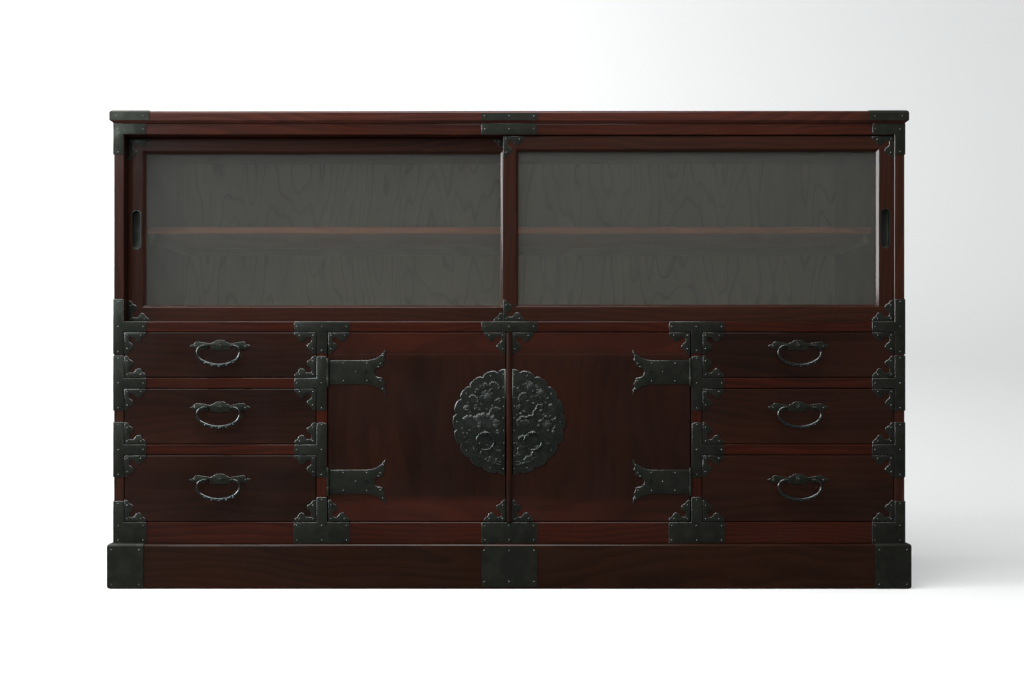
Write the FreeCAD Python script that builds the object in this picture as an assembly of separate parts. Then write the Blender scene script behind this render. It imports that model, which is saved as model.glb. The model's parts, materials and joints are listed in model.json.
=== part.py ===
import FreeCAD, Part
import math
import os

from FreeCAD import Vector

# A long low chest of lacquered wood with black iron fittings. A display compartment with two
# sliding glass doors runs across the top. Below it, a cupboard with two hinged doors stands
# between two stacks of three drawers, and the whole stands on a plinth.
#
# Lengths are in millimetres. X runs to the right, Y from the front to the back and Z up. The
# origin is on the floor, under the middle of the chest with its handles.

# Widths across the front
carcass_width = 1633.0
centre_bay_width = 752.0
side_thickness = 21.0
partition_thickness = 22.0
top_side_overhang = 5.5
plinth_side_overhang = 8.5

# Heights, from the floor up. The display opening takes what the rest leaves.
chest_height = 985.0
plinth_height = 92.0
bottom_rail_height = 44.0
lower_drawer_opening = 139.0
middle_drawer_opening = 116.0
upper_drawer_opening = 95.0
drawer_rail_height = 21.5
sill_rail_height = 21.5
head_rail_height = 23.5
top_thickness = 25.5

# Depths, from the front plane of the carcass
carcass_depth = 432.0
top_front_overhang = 6.0
plinth_front_overhang = 11.0
back_thickness = 9.0
bottom_rail_depth = 20.0
drawer_rail_depth = 45.0
track_rail_depth = 62.0

# Boards inside
deck_thickness = 15.0
runner_width = 22.0
shelf_thickness = 14.0
display_shelf_height = 201.5
display_shelf_setback = 150.0
cupboard_shelf_height = 190.0
cupboard_shelf_setback = 46.0
cleat_width = 12.0
cleat_height = 18.0
door_stop_height = 10.0
door_stop_depth = 12.0
plinth_board = 22.0

# Rounded and eased edges
top_round = 6.0
top_under_chamfer = 5.0
plinth_round = 5.0
plinth_foot_round = 6.0
eased_edge = 1.2

# An arc of an iron outline turns by about this much in each of its straight runs
arc_step = math.radians(26)

# Gaps
hairline = 0.1
drawer_gap = 1.2
hinged_door_gap = 1.5
hinge_side_gap = 2.2
door_stop_gap = 0.5
sliding_end_gap = 0.5
track_gap = 0.5

# Sliding glass doors
glass_door_thickness = 18.0
glass_door_setback = 3.5
glass_door_spacing = 2.5
frame_member = 35.0
frame_head_member = 31.0
meeting_stile = 31.0
meeting_overlap = 25.0
frame_bevel = 5.0
tongue_thickness = 9.0
sill_groove = 2.0
shoulder_gap = 0.4
lift_gap = 2.4
head_engagement = 5.0
pane_thickness = 3.0
pane_groove = 6.0
pane_setback = 8.5
pane_gap = 0.3

# Finger pulls of the glass doors
pull_length = 82.0
pull_width = 20.0
pull_depth = 9.0
pull_wall = 1.2
pull_inset = 17.0

# Hinged cupboard doors
hinged_door_thickness = 20.0
clamp_height = 45.0
clamp_tongue_reach = 10.0
clamp_tongue_thickness = 7.0
batten_width = 12.0
batten_proud = 7.0

# Iron plates
iron = 1.4
plate_margin = eased_edge
tee_half = 57.0
tee_arm = 67.5
head_plate_drop = 41.0
bottom_plate_rise = 44.0
inner_foot_rise = 52.0
inner_tee_drop = 44.0
side_wrap = 45.0
corner_arm = 43.8
corner_cusp = (36.5, 10.5)
corner_end_lobe = (42.6, 8.0)
corner_lobe_outer = (33.8, 17.5)
corner_lobe_inner = (24.0, 18.6)
corner_neck = (16.8, 8.4)
corner_heart = 10.6
top_cap_length = 80.0
top_cap_border = 22.0
plinth_cap_length = 73.0
plinth_cap_lift = 1.5
plinth_plate_margin = 5.0
plinth_plate_clip = 8.0

# Strap hinges
knuckle_radius = 2.8
knuckle_flats = 12
barrel_overrun = 4.5
knuckle_face_gap = 0.3
knuckle_end_gap = 0.4
hinge_pin_radius = 1.3
hinge_pin_fit = 0.05
pin_overrun = 0.8
strap_half_height = 24.5
strap_length = 118.0
strap_tip_rise = 46.0
strap_straight = 79.0
strap_notch = 94.5
strap_fork_reach = 111.5
strap_fork_rise = 14.0
strap_flare = 2.2
strap_scoop = 1.5
strap_thickness = 1.5
strap_from_door_edge = 57.5
fixed_leaf_thickness = 1.2
fixed_leaf_depth = 17.0

# Round lock plate in two halves, and its ring pulls
lock_radius = 109.5
lock_cusp_radius = 103.0
lock_lobes = 20
lock_thickness = 2.0
lock_edge_gap = 0.2
lock_rise = 10.5
ring_offset = 49.0
ring_drop = 21.5
ring_radius = 18.2
ring_wire = 1.9
ring_standoff = 5.0
ring_eye_gap = 0.5
ring_eye_wall = 2.0
ring_eye_width = 3.5
ring_steps = 20

# Drawers
drawer_front_thickness = 20.0
drawer_side_thickness = 9.0
drawer_bottom_thickness = 6.0
drawer_back_gap = 0.5
drawer_side_drop = 10.0
drawer_back_inset = 4.0
drawer_bottom_inset = 0.5

# Drop handles
handle_rise = 18.5
handle_plate_thickness = 1.5
handle_plate_below = 10.9
crown_rise = 23.2
crown_half = 11.5
crown_side_rise = 18.4
valley_half = 18.5
valley_rise = 14.8
shoulder_half = 49.0
shoulder_rise = 19.2
nick_half = 54.5
nick_rise = 14.6
wing_half = 63.5
wing_rise = 9.8
wing_foot_half = 50.0
foot_rise = 3.3
point_half = 5.0
arc_bulge = 1.4
bail_standoff = 14.0
bail_half_width = 43.9
bail_drop = 40.5
bail_shoulder_radius = 13.5
bail_side_radius = 20.0
bail_arm_radius = 2.4
bail_grip_radius = 4.3
bail_pin_radius = 2.0
bail_pin_fit = 0.05
bail_pin_end = 1.5
bail_side_play = 0.4
bail_arc_runs = 3
eye_width = 4.0
eye_wall = 2.0
eye_chamfer = 1.5
bore_flats = 12

# Places that follow from the values above
bottom_rail_top = plinth_height + bottom_rail_height
drawer_openings = lower_drawer_opening + middle_drawer_opening + upper_drawer_opening
sill_bottom = bottom_rail_top + drawer_openings + 2 * drawer_rail_height
sill_top = sill_bottom + sill_rail_height
head_top = chest_height - top_thickness
head_bottom = head_top - head_rail_height
half_carcass = carcass_width / 2
bay_outer = half_carcass - side_thickness
door_post = centre_bay_width / 2
bay_inner = door_post + partition_thickness
inner_stile = (door_post + bay_inner) / 2
bail_reach = bail_standoff + bail_grip_radius
front = (bail_reach - carcass_depth) / 2
back = front + carcass_depth
inside_back = back - back_thickness
hinge_axis_x = door_post - hinge_side_gap
hinge_axis_y = front - knuckle_radius - knuckle_face_gap
door_bottom = bottom_rail_top + hinged_door_gap
door_top = sill_bottom - hinged_door_gap
lock_centre = (door_bottom + door_top) / 2 + lock_rise
ring_centre = lock_centre - ring_drop - ring_radius
ring_pivot_y = front - lock_thickness - ring_standoff
ring_pivot_z = ring_centre + ring_radius
sides = {"left": -1, "right": 1}


# General shapes

def block(x, y, z):
    """A board that fills the span between two values along each axis."""
    corner = Vector(min(x), min(y), min(z))
    return Part.makeBox(max(x) - min(x), max(y) - min(y), max(z) - min(z), corner)


def outline(start, *steps):
    """A closed wire in the plane y = 0. A step is a point (x, z) to draw a line to, or a pair
    of points to draw an arc through the first to the second, in short straight runs."""
    points = [Vector(start[0], 0, start[1])]
    for step in steps:
        if isinstance(step[0], tuple):
            through, end = [Vector(x, 0, z) for x, z in step]
            arc = Part.Arc(points[-1], through, end)
            runs = max(2, round((arc.LastParameter - arc.FirstParameter) / arc_step))
            points += arc.discretize(runs + 1)[1:]
        else:
            points.append(Vector(step[0], 0, step[1]))
    if points[-1].distanceToPoint(points[0]) < hairline:
        points.pop()
    return Part.makePolygon(points + points[:1])


def plate(wire, y_back, thickness):
    """A flat plate with the outline of a wire in the plane y = 0, its back at y_back."""
    sheet = Part.Face(wire).extrude(Vector(0, -thickness, 0))
    sheet.translate(Vector(0, y_back, 0))
    return sheet


def bar(x, z, y_back=front):
    """A flat iron bar on a face at y_back."""
    return block(x, (y_back - iron, y_back), z)


def joined(*shapes):
    """One solid from shapes that share faces or volume."""
    whole = shapes[0].fuse(list(shapes[1:])).removeSplitter()
    return whole.Solids[0]


def edges_in_plane(shape, axis, value):
    """The edges of a shape that lie in the plane where the axis has that value."""
    return [
        edge
        for edge in shape.Edges
        if all(abs(getattr(vertex.Point, axis) - value) < hairline / 100 for vertex in edge.Vertexes)
    ]


def flat(*corners):
    """A flat face with these corners."""
    return Part.Face(Part.makePolygon([*corners, corners[0]]))


def ring_of_corners(centre, outward, radius, count=8):
    """The corners of a forged bar's section, whose plane holds the direction outward and Y."""
    corners = []
    for index in range(count):
        angle = 2 * math.pi * (index + 0.5) / count
        corners.append(centre + outward * (radius * math.cos(angle)) + Vector(0, radius * math.sin(angle), 0))
    return corners


def forged(sections, closed=False):
    """A solid bar through a run of sections with equally many corners, in flat facets. A closed
    bar runs on from its last section to its first."""
    faces = []
    pairs = list(zip(sections, sections[1:]))
    if closed:
        pairs.append((sections[-1], sections[0]))
    else:
        faces += [flat(*reversed(sections[0])), flat(*sections[-1])]
    for near, far in pairs:
        for index, corner in enumerate(near):
            after = (index + 1) % len(near)
            faces.append(flat(corner, near[after], far[after]))
            faces.append(flat(corner, far[after], far[index]))
    solid = Part.Solid(Part.Shell(faces))
    if solid.Volume < 0:
        solid.reverse()
    return solid


def mirrored(shape):
    """The same shape on the other side of the middle of the chest."""
    return shape.mirror(Vector(0, 0, 0), Vector(1, 0, 0))


def on_side(shape, side):
    """A shape drawn for the right half, brought to the side asked for."""
    return shape if side > 0 else mirrored(shape)


def eye(x, pivot, back_y, width, bore, wall):
    """An eye that stands on a plate at back_y, with its hole along X round the pivot (y, z)."""
    y, z = pivot
    reach = bore + wall
    body = block((x - width / 2, x + width / 2), (y - reach, back_y), (z - reach, z + reach))
    nose = [edge for edge in edges_in_plane(body, "y", y - reach) if abs(edge.CenterOfMass.x - x) < hairline]
    body = body.makeChamfer(min(eye_chamfer, wall), nose)
    corners = []
    for index in range(bore_flats):
        angle = 2 * math.pi * (index + 0.5) / bore_flats
        radius = bore / math.cos(math.pi / bore_flats)
        corners.append(Vector(x - width / 2, y + radius * math.cos(angle), z + radius * math.sin(angle)))
    return body.cut(flat(*corners).extrude(Vector(width, 0, 0)))


def save(name, *solids):
    """Writes the solids of one node."""
    shape = solids[0] if len(solids) == 1 else Part.makeCompound(list(solids))
    shape.exportStep(f"parts/{name}.step")


# Carcass

def top_board_body(grow):
    """The top board, or the same shape grown outwards for the iron caps on its corners."""
    body = block(
        (-half_carcass - top_side_overhang - grow, half_carcass + top_side_overhang + grow),
        (front - top_front_overhang - grow, back),
        (head_top, head_top + top_thickness + grow),
    )
    top = edges_in_plane(body, "z", head_top + top_thickness + grow)
    body = body.makeFillet(top_round + grow, [edge for edge in top if edge.CenterOfMass.y < back - hairline])
    low = edges_in_plane(body, "z", head_top)
    return body.makeChamfer(top_under_chamfer, [edge for edge in low if edge.CenterOfMass.y < back - hairline])


def top_irons():
    """Caps on the front corners of the top board and a plate at its middle."""
    wood = top_board_body(0)
    skin = top_board_body(iron).cut(wood)
    outer = half_carcass + top_side_overhang
    board_front = front - top_front_overhang
    corner = block(
        (outer - top_cap_length, outer + iron),
        (board_front - iron, board_front + top_cap_length),
        (head_top + top_under_chamfer, head_top + top_thickness + iron),
    )
    inside = block(
        (outer - top_cap_length - hairline, outer - top_cap_border),
        (board_front + top_cap_border, board_front + top_cap_length + hairline),
        (head_top, head_top + top_thickness + 2 * iron),
    )
    cap = skin.common(corner).cut(inside).Solids[0]
    middle = bar(
        (-tee_half, tee_half),
        (head_top + top_under_chamfer, head_top + top_thickness - top_round),
        board_front,
    )
    return cap, mirrored(cap), middle


def plinth_body(grow):
    """The outer form of the plinth as one block, or the same form grown for its iron caps."""
    outer = half_carcass + plinth_side_overhang + grow
    body = block((-outer, outer), (front - plinth_front_overhang - grow, back), (0, plinth_height + grow))
    upper = [
        edge
        for edge in edges_in_plane(body, "z", plinth_height + grow)
        if edge.CenterOfMass.y < back - hairline
    ]
    body = body.makeFillet(plinth_round + grow, upper)
    foot = [edge for edge in edges_in_plane(body, "z", 0) if abs(edge.CenterOfMass.x) > outer - hairline]
    return body.makeFillet(plinth_foot_round, foot)


def plinth():
    """Front, back and side boards of the plinth."""
    body = plinth_body(0)
    outer = half_carcass + plinth_side_overhang
    plinth_front = front - plinth_front_overhang
    full_height = (0, plinth_height)
    front_board = block((-outer, outer), (plinth_front, plinth_front + plinth_board), full_height)
    side_board = block(
        (outer - plinth_board, outer),
        (plinth_front + plinth_board + hairline, back),
        full_height,
    )
    inner = outer - plinth_board - hairline
    back_board = block((-inner, inner), (back - plinth_board, back), full_height)
    boards = (front_board, side_board, mirrored(side_board), back_board)
    return [body.common(board).Solids[0] for board in boards]


def plinth_irons():
    """Caps on the front corners of the plinth and a plate at its middle."""
    outer = half_carcass + plinth_side_overhang
    plinth_front = front - plinth_front_overhang
    skin = plinth_body(iron).cut(plinth_body(0))
    corner = block(
        (outer - plinth_cap_length, outer + iron),
        (plinth_front - iron, plinth_front + plinth_cap_length),
        (plinth_cap_lift, plinth_height + iron),
    )
    carcass = block(
        (-half_carcass - iron, half_carcass + iron),
        (front - iron, back),
        (plinth_height, head_top),
    )
    cap = skin.common(corner).cut(carcass).Solids[0]
    low = plinth_plate_margin
    high = plinth_height - plinth_round
    half = tee_half
    clip = plinth_plate_clip
    wire = outline(
        (-half, low),
        (half, low),
        (half, high - clip),
        (half - clip, high),
        (clip - half, high),
        (-half, high - clip),
    )
    return cap, mirrored(cap), plate(wire, plinth_front, iron)


def side_panel(side):
    """One end of the chest, a full-height board whose front edge shows as a stile."""
    body = block((side * bay_outer, side * half_carcass), (front, back), (plinth_height, head_top))
    outer_corner = [edge for edge in edges_in_plane(body, "y", front) if edge.Length > head_top - sill_top]
    return body.makeChamfer(eased_edge, outer_corner)


def grooves(z):
    """The two grooves that the tongues of the sliding doors run in, as blocks to cut."""
    run = (-bay_outer, bay_outer)
    for track in (0, 1):
        middle = glass_door_front(track) + glass_door_thickness / 2
        half = tongue_thickness / 2 + track_gap
        yield block(run, (middle - half, middle + half), z)


def track_rail(z, groove_z):
    """A rail across the front with the two door tracks cut into it."""
    body = block((-bay_outer, bay_outer), (front, front + track_rail_depth), z)
    body = body.makeChamfer(eased_edge, [e for e in edges_in_plane(body, "y", front) if e.Length > bay_outer])
    for groove in grooves(groove_z):
        body = body.cut(groove)
    return body


def front_rails():
    """The bottom rail across the chest, and the four short rails between the drawers."""
    bottom = block((-bay_outer, bay_outer), (front, front + bottom_rail_depth), (plinth_height, bottom_rail_top))
    rails = [bottom]
    for _, floor, opening in drawer_rows()[:-1]:
        for side in sides.values():
            rails.append(
                block(
                    (side * bay_inner, side * bay_outer),
                    (front, front + drawer_rail_depth),
                    (floor + opening, floor + opening + drawer_rail_height),
                )
            )
    eased = []
    for rail in rails:
        long_edges = [e for e in edges_in_plane(rail, "y", front) if e.Length > bottom_rail_height]
        eased.append(rail.makeChamfer(eased_edge, long_edges))
    return eased


def partition(side):
    """An upright between the drawers and the cupboard, notched at the top for the sill rail."""
    body = block((side * door_post, side * bay_inner), (front, inside_back), (bottom_rail_top, sill_bottom))
    uprights = [e for e in edges_in_plane(body, "y", front) if e.Length > bay_inner - door_post]
    body = body.makeChamfer(eased_edge, uprights)
    rise = block(
        (side * door_post, side * bay_inner),
        (front + track_rail_depth, inside_back),
        (sill_bottom, sill_top - deck_thickness),
    )
    return joined(body, rise)


def back_panels():
    """The two thin boards that close the back, above and below the middle deck."""
    run = (-bay_outer, bay_outer)
    depth = (inside_back, back)
    seam = sill_top - deck_thickness / 2
    lower = block(run, depth, (plinth_height, seam - hairline))
    upper = block(run, depth, (seam + hairline, head_top))
    return lower, upper


def drawer_rows():
    """Name, floor height and opening of each row of drawers, from the lowest up."""
    rows = []
    floor = bottom_rail_top
    for name, opening in (
        ("lower", lower_drawer_opening),
        ("middle", middle_drawer_opening),
        ("upper", upper_drawer_opening),
    ):
        rows.append((name, floor, opening))
        floor += opening + drawer_rail_height
    return rows


def drawer_runners():
    """Runners behind each drawer rail, and kickers that hold the upper drawers down."""
    runners = []
    for side in sides.values():
        for near, far in ((bay_inner, bay_inner + runner_width), (bay_outer - runner_width, bay_outer)):
            for _, floor, opening in drawer_rows()[:-1]:
                runners.append(
                    block(
                        (side * near, side * far),
                        (front + drawer_rail_depth, inside_back),
                        (floor + opening, floor + opening + drawer_rail_height),
                    )
                )
            runners.append(
                block(
                    (side * near, side * far),
                    (front + track_rail_depth, inside_back),
                    (sill_bottom, sill_top - deck_thickness),
                )
            )
    return runners


def shelf_cleats():
    """Cleats under the display shelf and the cupboard shelf: one at each end and one behind."""
    cleats = []
    for half_run, setback, underside in (
        (bay_outer, display_shelf_setback, sill_top + display_shelf_height),
        (door_post, cupboard_shelf_setback, bottom_rail_top + cupboard_shelf_height),
    ):
        height = (underside - cleat_height, underside)
        end = block((half_run - cleat_width, half_run), (front + setback + cleat_width, inside_back), height)
        inner = half_run - cleat_width - hairline
        rear = block((-inner, inner), (inside_back - cleat_width, inside_back), height)
        cleats += [end, mirrored(end), rear]
    return cleats


def shelf(half_run, setback, underside):
    """A shelf with an eased front edge."""
    body = block((-half_run, half_run), (front + setback, inside_back), (underside, underside + shelf_thickness))
    long_edges = [e for e in edges_in_plane(body, "y", front + setback) if e.Length > half_run]
    return body.makeChamfer(eased_edge, long_edges)


def door_stops():
    """Strips that the hinged doors close against, along the floor and the head of the cupboard."""
    near = front + hinged_door_thickness + door_stop_gap
    depth = (near, near + door_stop_depth)
    run = (-door_post, door_post)
    low = block(run, depth, (bottom_rail_top, bottom_rail_top + door_stop_height))
    high = block(run, depth, (sill_bottom - door_stop_height, sill_bottom))
    return low, high


# Iron plates on the face frame

def outer_tee(rail_z, stem_z):
    """A plate on an outer stile with one arm along a rail, wrapped round the side. Right half."""
    edge = half_carcass + iron
    stem = bar((bay_outer + plate_margin, edge), stem_z)
    arm = bar((half_carcass - tee_arm, half_carcass), rail_z)
    wrap = block((half_carcass, edge), (front - iron, front + side_wrap), stem_z)
    return joined(stem, arm, wrap)


def rail_span(low, high):
    """The height of a plate on a rail, with a margin of wood at both edges."""
    return (low + plate_margin, high - plate_margin)


def outer_irons():
    """The five plates on the right outer stile."""
    head = outer_tee(rail_span(head_bottom, head_top), (head_bottom - head_plate_drop, head_top - plate_margin))
    foot = outer_tee(
        rail_span(plinth_height, bottom_rail_top),
        (plinth_height + plate_margin, bottom_rail_top + bottom_plate_rise),
    )
    plates = [head, foot]
    rails = [(sill_bottom, sill_top)]
    rails += [(floor + opening, floor + opening + drawer_rail_height) for _, floor, opening in drawer_rows()[:-1]]
    for low, high in rails:
        middle = (low + high) / 2
        plates.append(outer_tee(rail_span(low, high), (middle - tee_half, middle + tee_half)))
    return plates


def inner_irons():
    """The four plates on the right inner stile. They stop short of the hinge knuckles."""
    stile = (hinge_axis_x + knuckle_radius + 2 * knuckle_end_gap, bay_inner - plate_margin)
    across = (inner_stile - tee_half, inner_stile + tee_half)
    head = joined(
        bar(across, rail_span(sill_bottom, sill_top)),
        bar(stile, (sill_bottom - inner_tee_drop, sill_top - plate_margin)),
    )
    foot = joined(
        bar(across, rail_span(plinth_height, bottom_rail_top)),
        bar(stile, (plinth_height + plate_margin, bottom_rail_top + inner_foot_rise)),
    )
    plates = [head, foot]
    for _, floor, opening in drawer_rows()[:-1]:
        low = floor + opening
        high = low + drawer_rail_height
        middle = (low + high) / 2
        stem = bar(stile, (middle - tee_half, middle + tee_half))
        arm = bar((stile[0], inner_stile + tee_half), rail_span(low, high))
        plates.append(joined(stem, arm))
    return plates


def frame_irons():
    """Every plate on the stiles and rails of the face frame."""
    right = outer_irons() + inner_irons()
    middle = [
        bar((-tee_half, tee_half), rail_span(low, high))
        for low, high in ((plinth_height, bottom_rail_top), (sill_bottom, sill_top), (head_bottom, head_top))
    ]
    return right + [mirrored(piece) for piece in right] + middle


def corner_plate(x, z, to_x, to_z, y_back):
    """A lobed plate on a corner. Its outer corner is at (x, z), and its arms run towards to_x
    and to_z, which are 1 or -1."""

    def at(along, across):
        return (x + to_x * along, z + to_z * across)

    arm = [
        (corner_arm, 0),
        corner_end_lobe,
        corner_cusp,
        corner_lobe_outer,
        corner_lobe_inner,
        corner_neck,
    ]
    other = [(across, along) for along, across in reversed(arm)]
    corners = [at(*place) for place in [*arm, (corner_heart, corner_heart), *other]]
    wire = outline(at(0, 0), *corners)
    return plate(wire, y_back, iron)


def corner_plates(x, z, y_back):
    """Four lobed plates in the corners of a door or drawer front that spans x and z."""
    low_x, high_x = min(x) + plate_margin, max(x) - plate_margin
    low_z, high_z = min(z) + plate_margin, max(z) - plate_margin
    return [
        corner_plate(low_x, low_z, 1, 1, y_back),
        corner_plate(high_x, low_z, -1, 1, y_back),
        corner_plate(low_x, high_z, 1, -1, y_back),
        corner_plate(high_x, high_z, -1, -1, y_back),
    ]


# Sliding glass doors, the left one in the rear track and the right one in the front track

def glass_door_front(track):
    """The y of a door's front face, in the front track (0) or the rear one (1)."""
    return front + glass_door_setback + track * (glass_door_thickness + glass_door_spacing)


glass_door_width = bay_outer + meeting_overlap / 2 - sliding_end_gap
glass_door_body = (sill_top + shoulder_gap, head_bottom - lift_gap)
glass_door_whole = (sill_top - sill_groove, head_bottom + head_engagement)


def glass_door_sight():
    """The span of the glass that shows, for the right door, as (x, z)."""
    outer = bay_outer - sliding_end_gap
    x = (outer - glass_door_width + meeting_stile, outer - frame_member)
    z = (glass_door_body[0] + frame_member, glass_door_body[1] - frame_head_member)
    return x, z


def bevel_cutter(x, z, y):
    """The wedge-sided block that bevels the inner front edges of a door frame."""
    wires = []
    for depth in (0, frame_bevel):
        reach = frame_bevel - depth
        corners = [
            Vector(x[0] - reach, y + depth, z[0] - reach),
            Vector(x[1] + reach, y + depth, z[0] - reach),
            Vector(x[1] + reach, y + depth, z[1] + reach),
            Vector(x[0] - reach, y + depth, z[1] + reach),
        ]
        wires.append(Part.makePolygon(corners + corners[:1]))
    return Part.makeLoft(wires, True, True)


def stadium(length, width, x, z):
    """The outline of a finger pull: two straight sides with round ends, upright."""
    half = width / 2
    straight = length / 2 - half
    return outline(
        (x - half, z - straight),
        ((x, z - straight - half), (x + half, z - straight)),
        (x + half, z + straight),
        ((x, z + straight + half), (x - half, z + straight)),
    )


def pull_place():
    """The middle of the right door's finger pull, as (x, z)."""
    return bay_outer - sliding_end_gap - pull_inset, (sill_top + head_bottom) / 2


def glass_door_frame(y):
    """Two stiles and two rails with tongues above and below, a bevel round the glass, a groove
    for the pane and a pocket for the finger pull. Drawn for the right door with its face at y."""
    outer = bay_outer - sliding_end_gap
    depth = (y, y + glass_door_thickness)
    sight_x, sight_z = glass_door_sight()
    members = [
        block((sight_x[1], outer), depth, glass_door_whole),
        block((outer - glass_door_width, sight_x[0]), depth, glass_door_whole),
        block((sight_x[0] + hairline, sight_x[1] - hairline), depth, (glass_door_whole[0], sight_z[0])),
        block((sight_x[0] + hairline, sight_x[1] - hairline), depth, (sight_z[1], glass_door_whole[1])),
    ]
    shoulder = (glass_door_thickness - tongue_thickness) / 2
    run = (outer - glass_door_width, outer)
    groove_y = y + pane_setback
    groove_reach = pane_groove + pane_gap
    centre = pull_place()
    cutters = [
        bevel_cutter(sight_x, sight_z, y),
        block(
            (sight_x[0] - groove_reach, sight_x[1] + groove_reach),
            (groove_y - pane_gap, groove_y + pane_thickness + pane_gap),
            (sight_z[0] - groove_reach, sight_z[1] + groove_reach),
        ),
        plate(stadium(pull_length, pull_width, *centre), y + pull_depth + pull_wall, pull_depth + pull_wall),
    ]
    for cheek in ((y, y + shoulder), (y + glass_door_thickness - shoulder, y + glass_door_thickness)):
        cutters.append(block(run, cheek, (glass_door_whole[0], glass_door_body[0])))
        cutters.append(block(run, cheek, (glass_door_body[1], glass_door_whole[1])))
    return [member.cut(cutters).Solids[0] for member in members]


def glass_door_pane(y):
    """The glass of a sliding door."""
    sight_x, sight_z = glass_door_sight()
    return block(
        (sight_x[0] - pane_groove, sight_x[1] + pane_groove),
        (y + pane_setback, y + pane_setback + pane_thickness),
        (sight_z[0] - pane_groove, sight_z[1] + pane_groove),
    )


def finger_pull(y):
    """The iron cup that lines the finger recess."""
    centre = pull_place()
    depth = pull_depth + pull_wall
    cup = plate(stadium(pull_length, pull_width, *centre), y + depth, depth)
    inner_length = pull_length - 2 * pull_wall
    inner_width = pull_width - 2 * pull_wall
    hollow = plate(stadium(inner_length, inner_width, *centre), y + pull_depth, pull_depth)
    return cup.cut(hollow)


def glass_door_irons(y):
    """Four corner plates and the finger pull of a sliding door."""
    outer = bay_outer - sliding_end_gap
    return corner_plates((outer - glass_door_width, outer), glass_door_body, y) + [finger_pull(y)]


# Hinged cupboard doors

def hinged_door_span(side):
    """The x of a door's meeting edge and hinge edge. The right door carries the batten."""
    if side > 0:
        return (-batten_width / 2, hinge_axis_x)
    return (-batten_width / 2 - hinged_door_gap, -hinge_axis_x)


def iron_span(side):
    """The part of a door's front that its corner plates may lie on, beside the batten."""
    meeting, hinge = hinged_door_span(side)
    if side > 0:
        meeting = batten_width / 2
    return (meeting, hinge)


def cupboard_door(side):
    """A hinged door: an upright board, and a clamp across each end that takes its tongue."""
    span = hinged_door_span(side)
    depth = (front, front + hinged_door_thickness)
    whole = block(span, depth, (door_bottom, door_top))
    whole = whole.makeChamfer(eased_edge, edges_in_plane(whole, "y", front))
    low, high = door_bottom + clamp_height, door_top - clamp_height
    cheek = (hinged_door_thickness - clamp_tongue_thickness) / 2
    tongue_y = (front + cheek, front + cheek + clamp_tongue_thickness)
    tongue = block(span, tongue_y, (low - clamp_tongue_reach, high + clamp_tongue_reach))
    room = block(
        span,
        (tongue_y[0] - hairline, tongue_y[1] + hairline),
        (low - clamp_tongue_reach - hairline, high + clamp_tongue_reach + hairline),
    )
    board = joined(whole.common(block(span, depth, (low + hairline, high - hairline))), tongue)
    clamps = [whole.common(block(span, depth, z)).cut(room) for z in ((door_bottom, low), (high, door_top))]
    return [board] + [clamp.Solids[0] for clamp in clamps]


def meeting_batten():
    """The half-round batten on the meeting edge of the right door."""
    half = batten_width / 2
    nose = Part.makeCylinder(half, door_top - door_bottom, Vector(0, front - batten_proud + half, door_bottom))
    core = block((-half, half), (front - batten_proud + half, front), (door_bottom, door_top))
    return joined(nose, core).common(block((-half, half), (front - batten_proud, front), (door_bottom, door_top)))


def hinge_heights():
    """The middle heights of the two strap hinges of a door."""
    return (door_bottom + strap_from_door_edge + strap_half_height,
            door_top - strap_from_door_edge - strap_half_height)


def knuckle_spans():
    """The three knuckles of a hinge, as heights from its middle: two that move and one fixed."""
    barrel = strap_half_height + barrel_overrun
    inner = barrel / 3 - knuckle_end_gap / 2
    outer = barrel / 3 + knuckle_end_gap / 2
    low = (-barrel, -outer)
    fixed = (-inner, inner)
    high = (outer, barrel)
    return low, fixed, high


def hinge_rod(z, radius):
    """A cylinder on the hinge axis of the right door."""
    return Part.makeCylinder(radius, z[1] - z[0], Vector(hinge_axis_x, hinge_axis_y, z[0]))


def knuckle(z):
    """One knuckle of the right door's hinges, rolled from the iron of its leaf in short flats."""
    corners = []
    for index in range(knuckle_flats):
        angle = 2 * math.pi * index / knuckle_flats
        corner = Vector(math.cos(angle), math.sin(angle), 0) * knuckle_radius
        corners.append(corner + Vector(hinge_axis_x, hinge_axis_y, z[0]))
    return flat(*corners).extrude(Vector(0, 0, z[1] - z[0]))


def strap(z):
    """The moving half of a strap hinge, with a swallow-tail end. Drawn for the right door."""

    def at(reach, rise):
        return (hinge_axis_x - reach, rise)

    neck = (strap_straight + strap_length) / 2 + strap_flare
    fork = (strap_notch + strap_fork_reach) / 2 - strap_scoop
    upper = plate(
        outline(
            at(0, 0),
            at(0, strap_half_height),
            at(strap_straight, strap_half_height),
            (at(neck, strap_half_height + 2 * strap_flare), at(strap_length, strap_tip_rise)),
            (
                at(strap_length - strap_scoop, (strap_tip_rise + strap_fork_rise) / 2),
                at(strap_fork_reach, strap_fork_rise),
            ),
            (at(fork, strap_fork_rise / 2 + strap_scoop), at(strap_notch, 0)),
        ),
        front,
        strap_thickness,
    )
    lower = upper.mirror(Vector(0, 0, 0), Vector(0, 0, 1))
    leaf = joined(upper, lower)
    leaf.translate(Vector(0, 0, z))
    low, fixed, high = [(z + start, z + end) for start, end in knuckle_spans()]
    notch = knuckle_radius + 2 * knuckle_face_gap
    room = block(
        (hinge_axis_x - notch, hinge_axis_x),
        (hinge_axis_y - knuckle_radius, front),
        (fixed[0] - knuckle_end_gap, fixed[1] + knuckle_end_gap),
    )
    bore = hinge_rod((low[0], high[1]), hinge_pin_radius + hinge_pin_fit)
    return joined(leaf.cut(room), knuckle(low), knuckle(high)).cut(bore)


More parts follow.
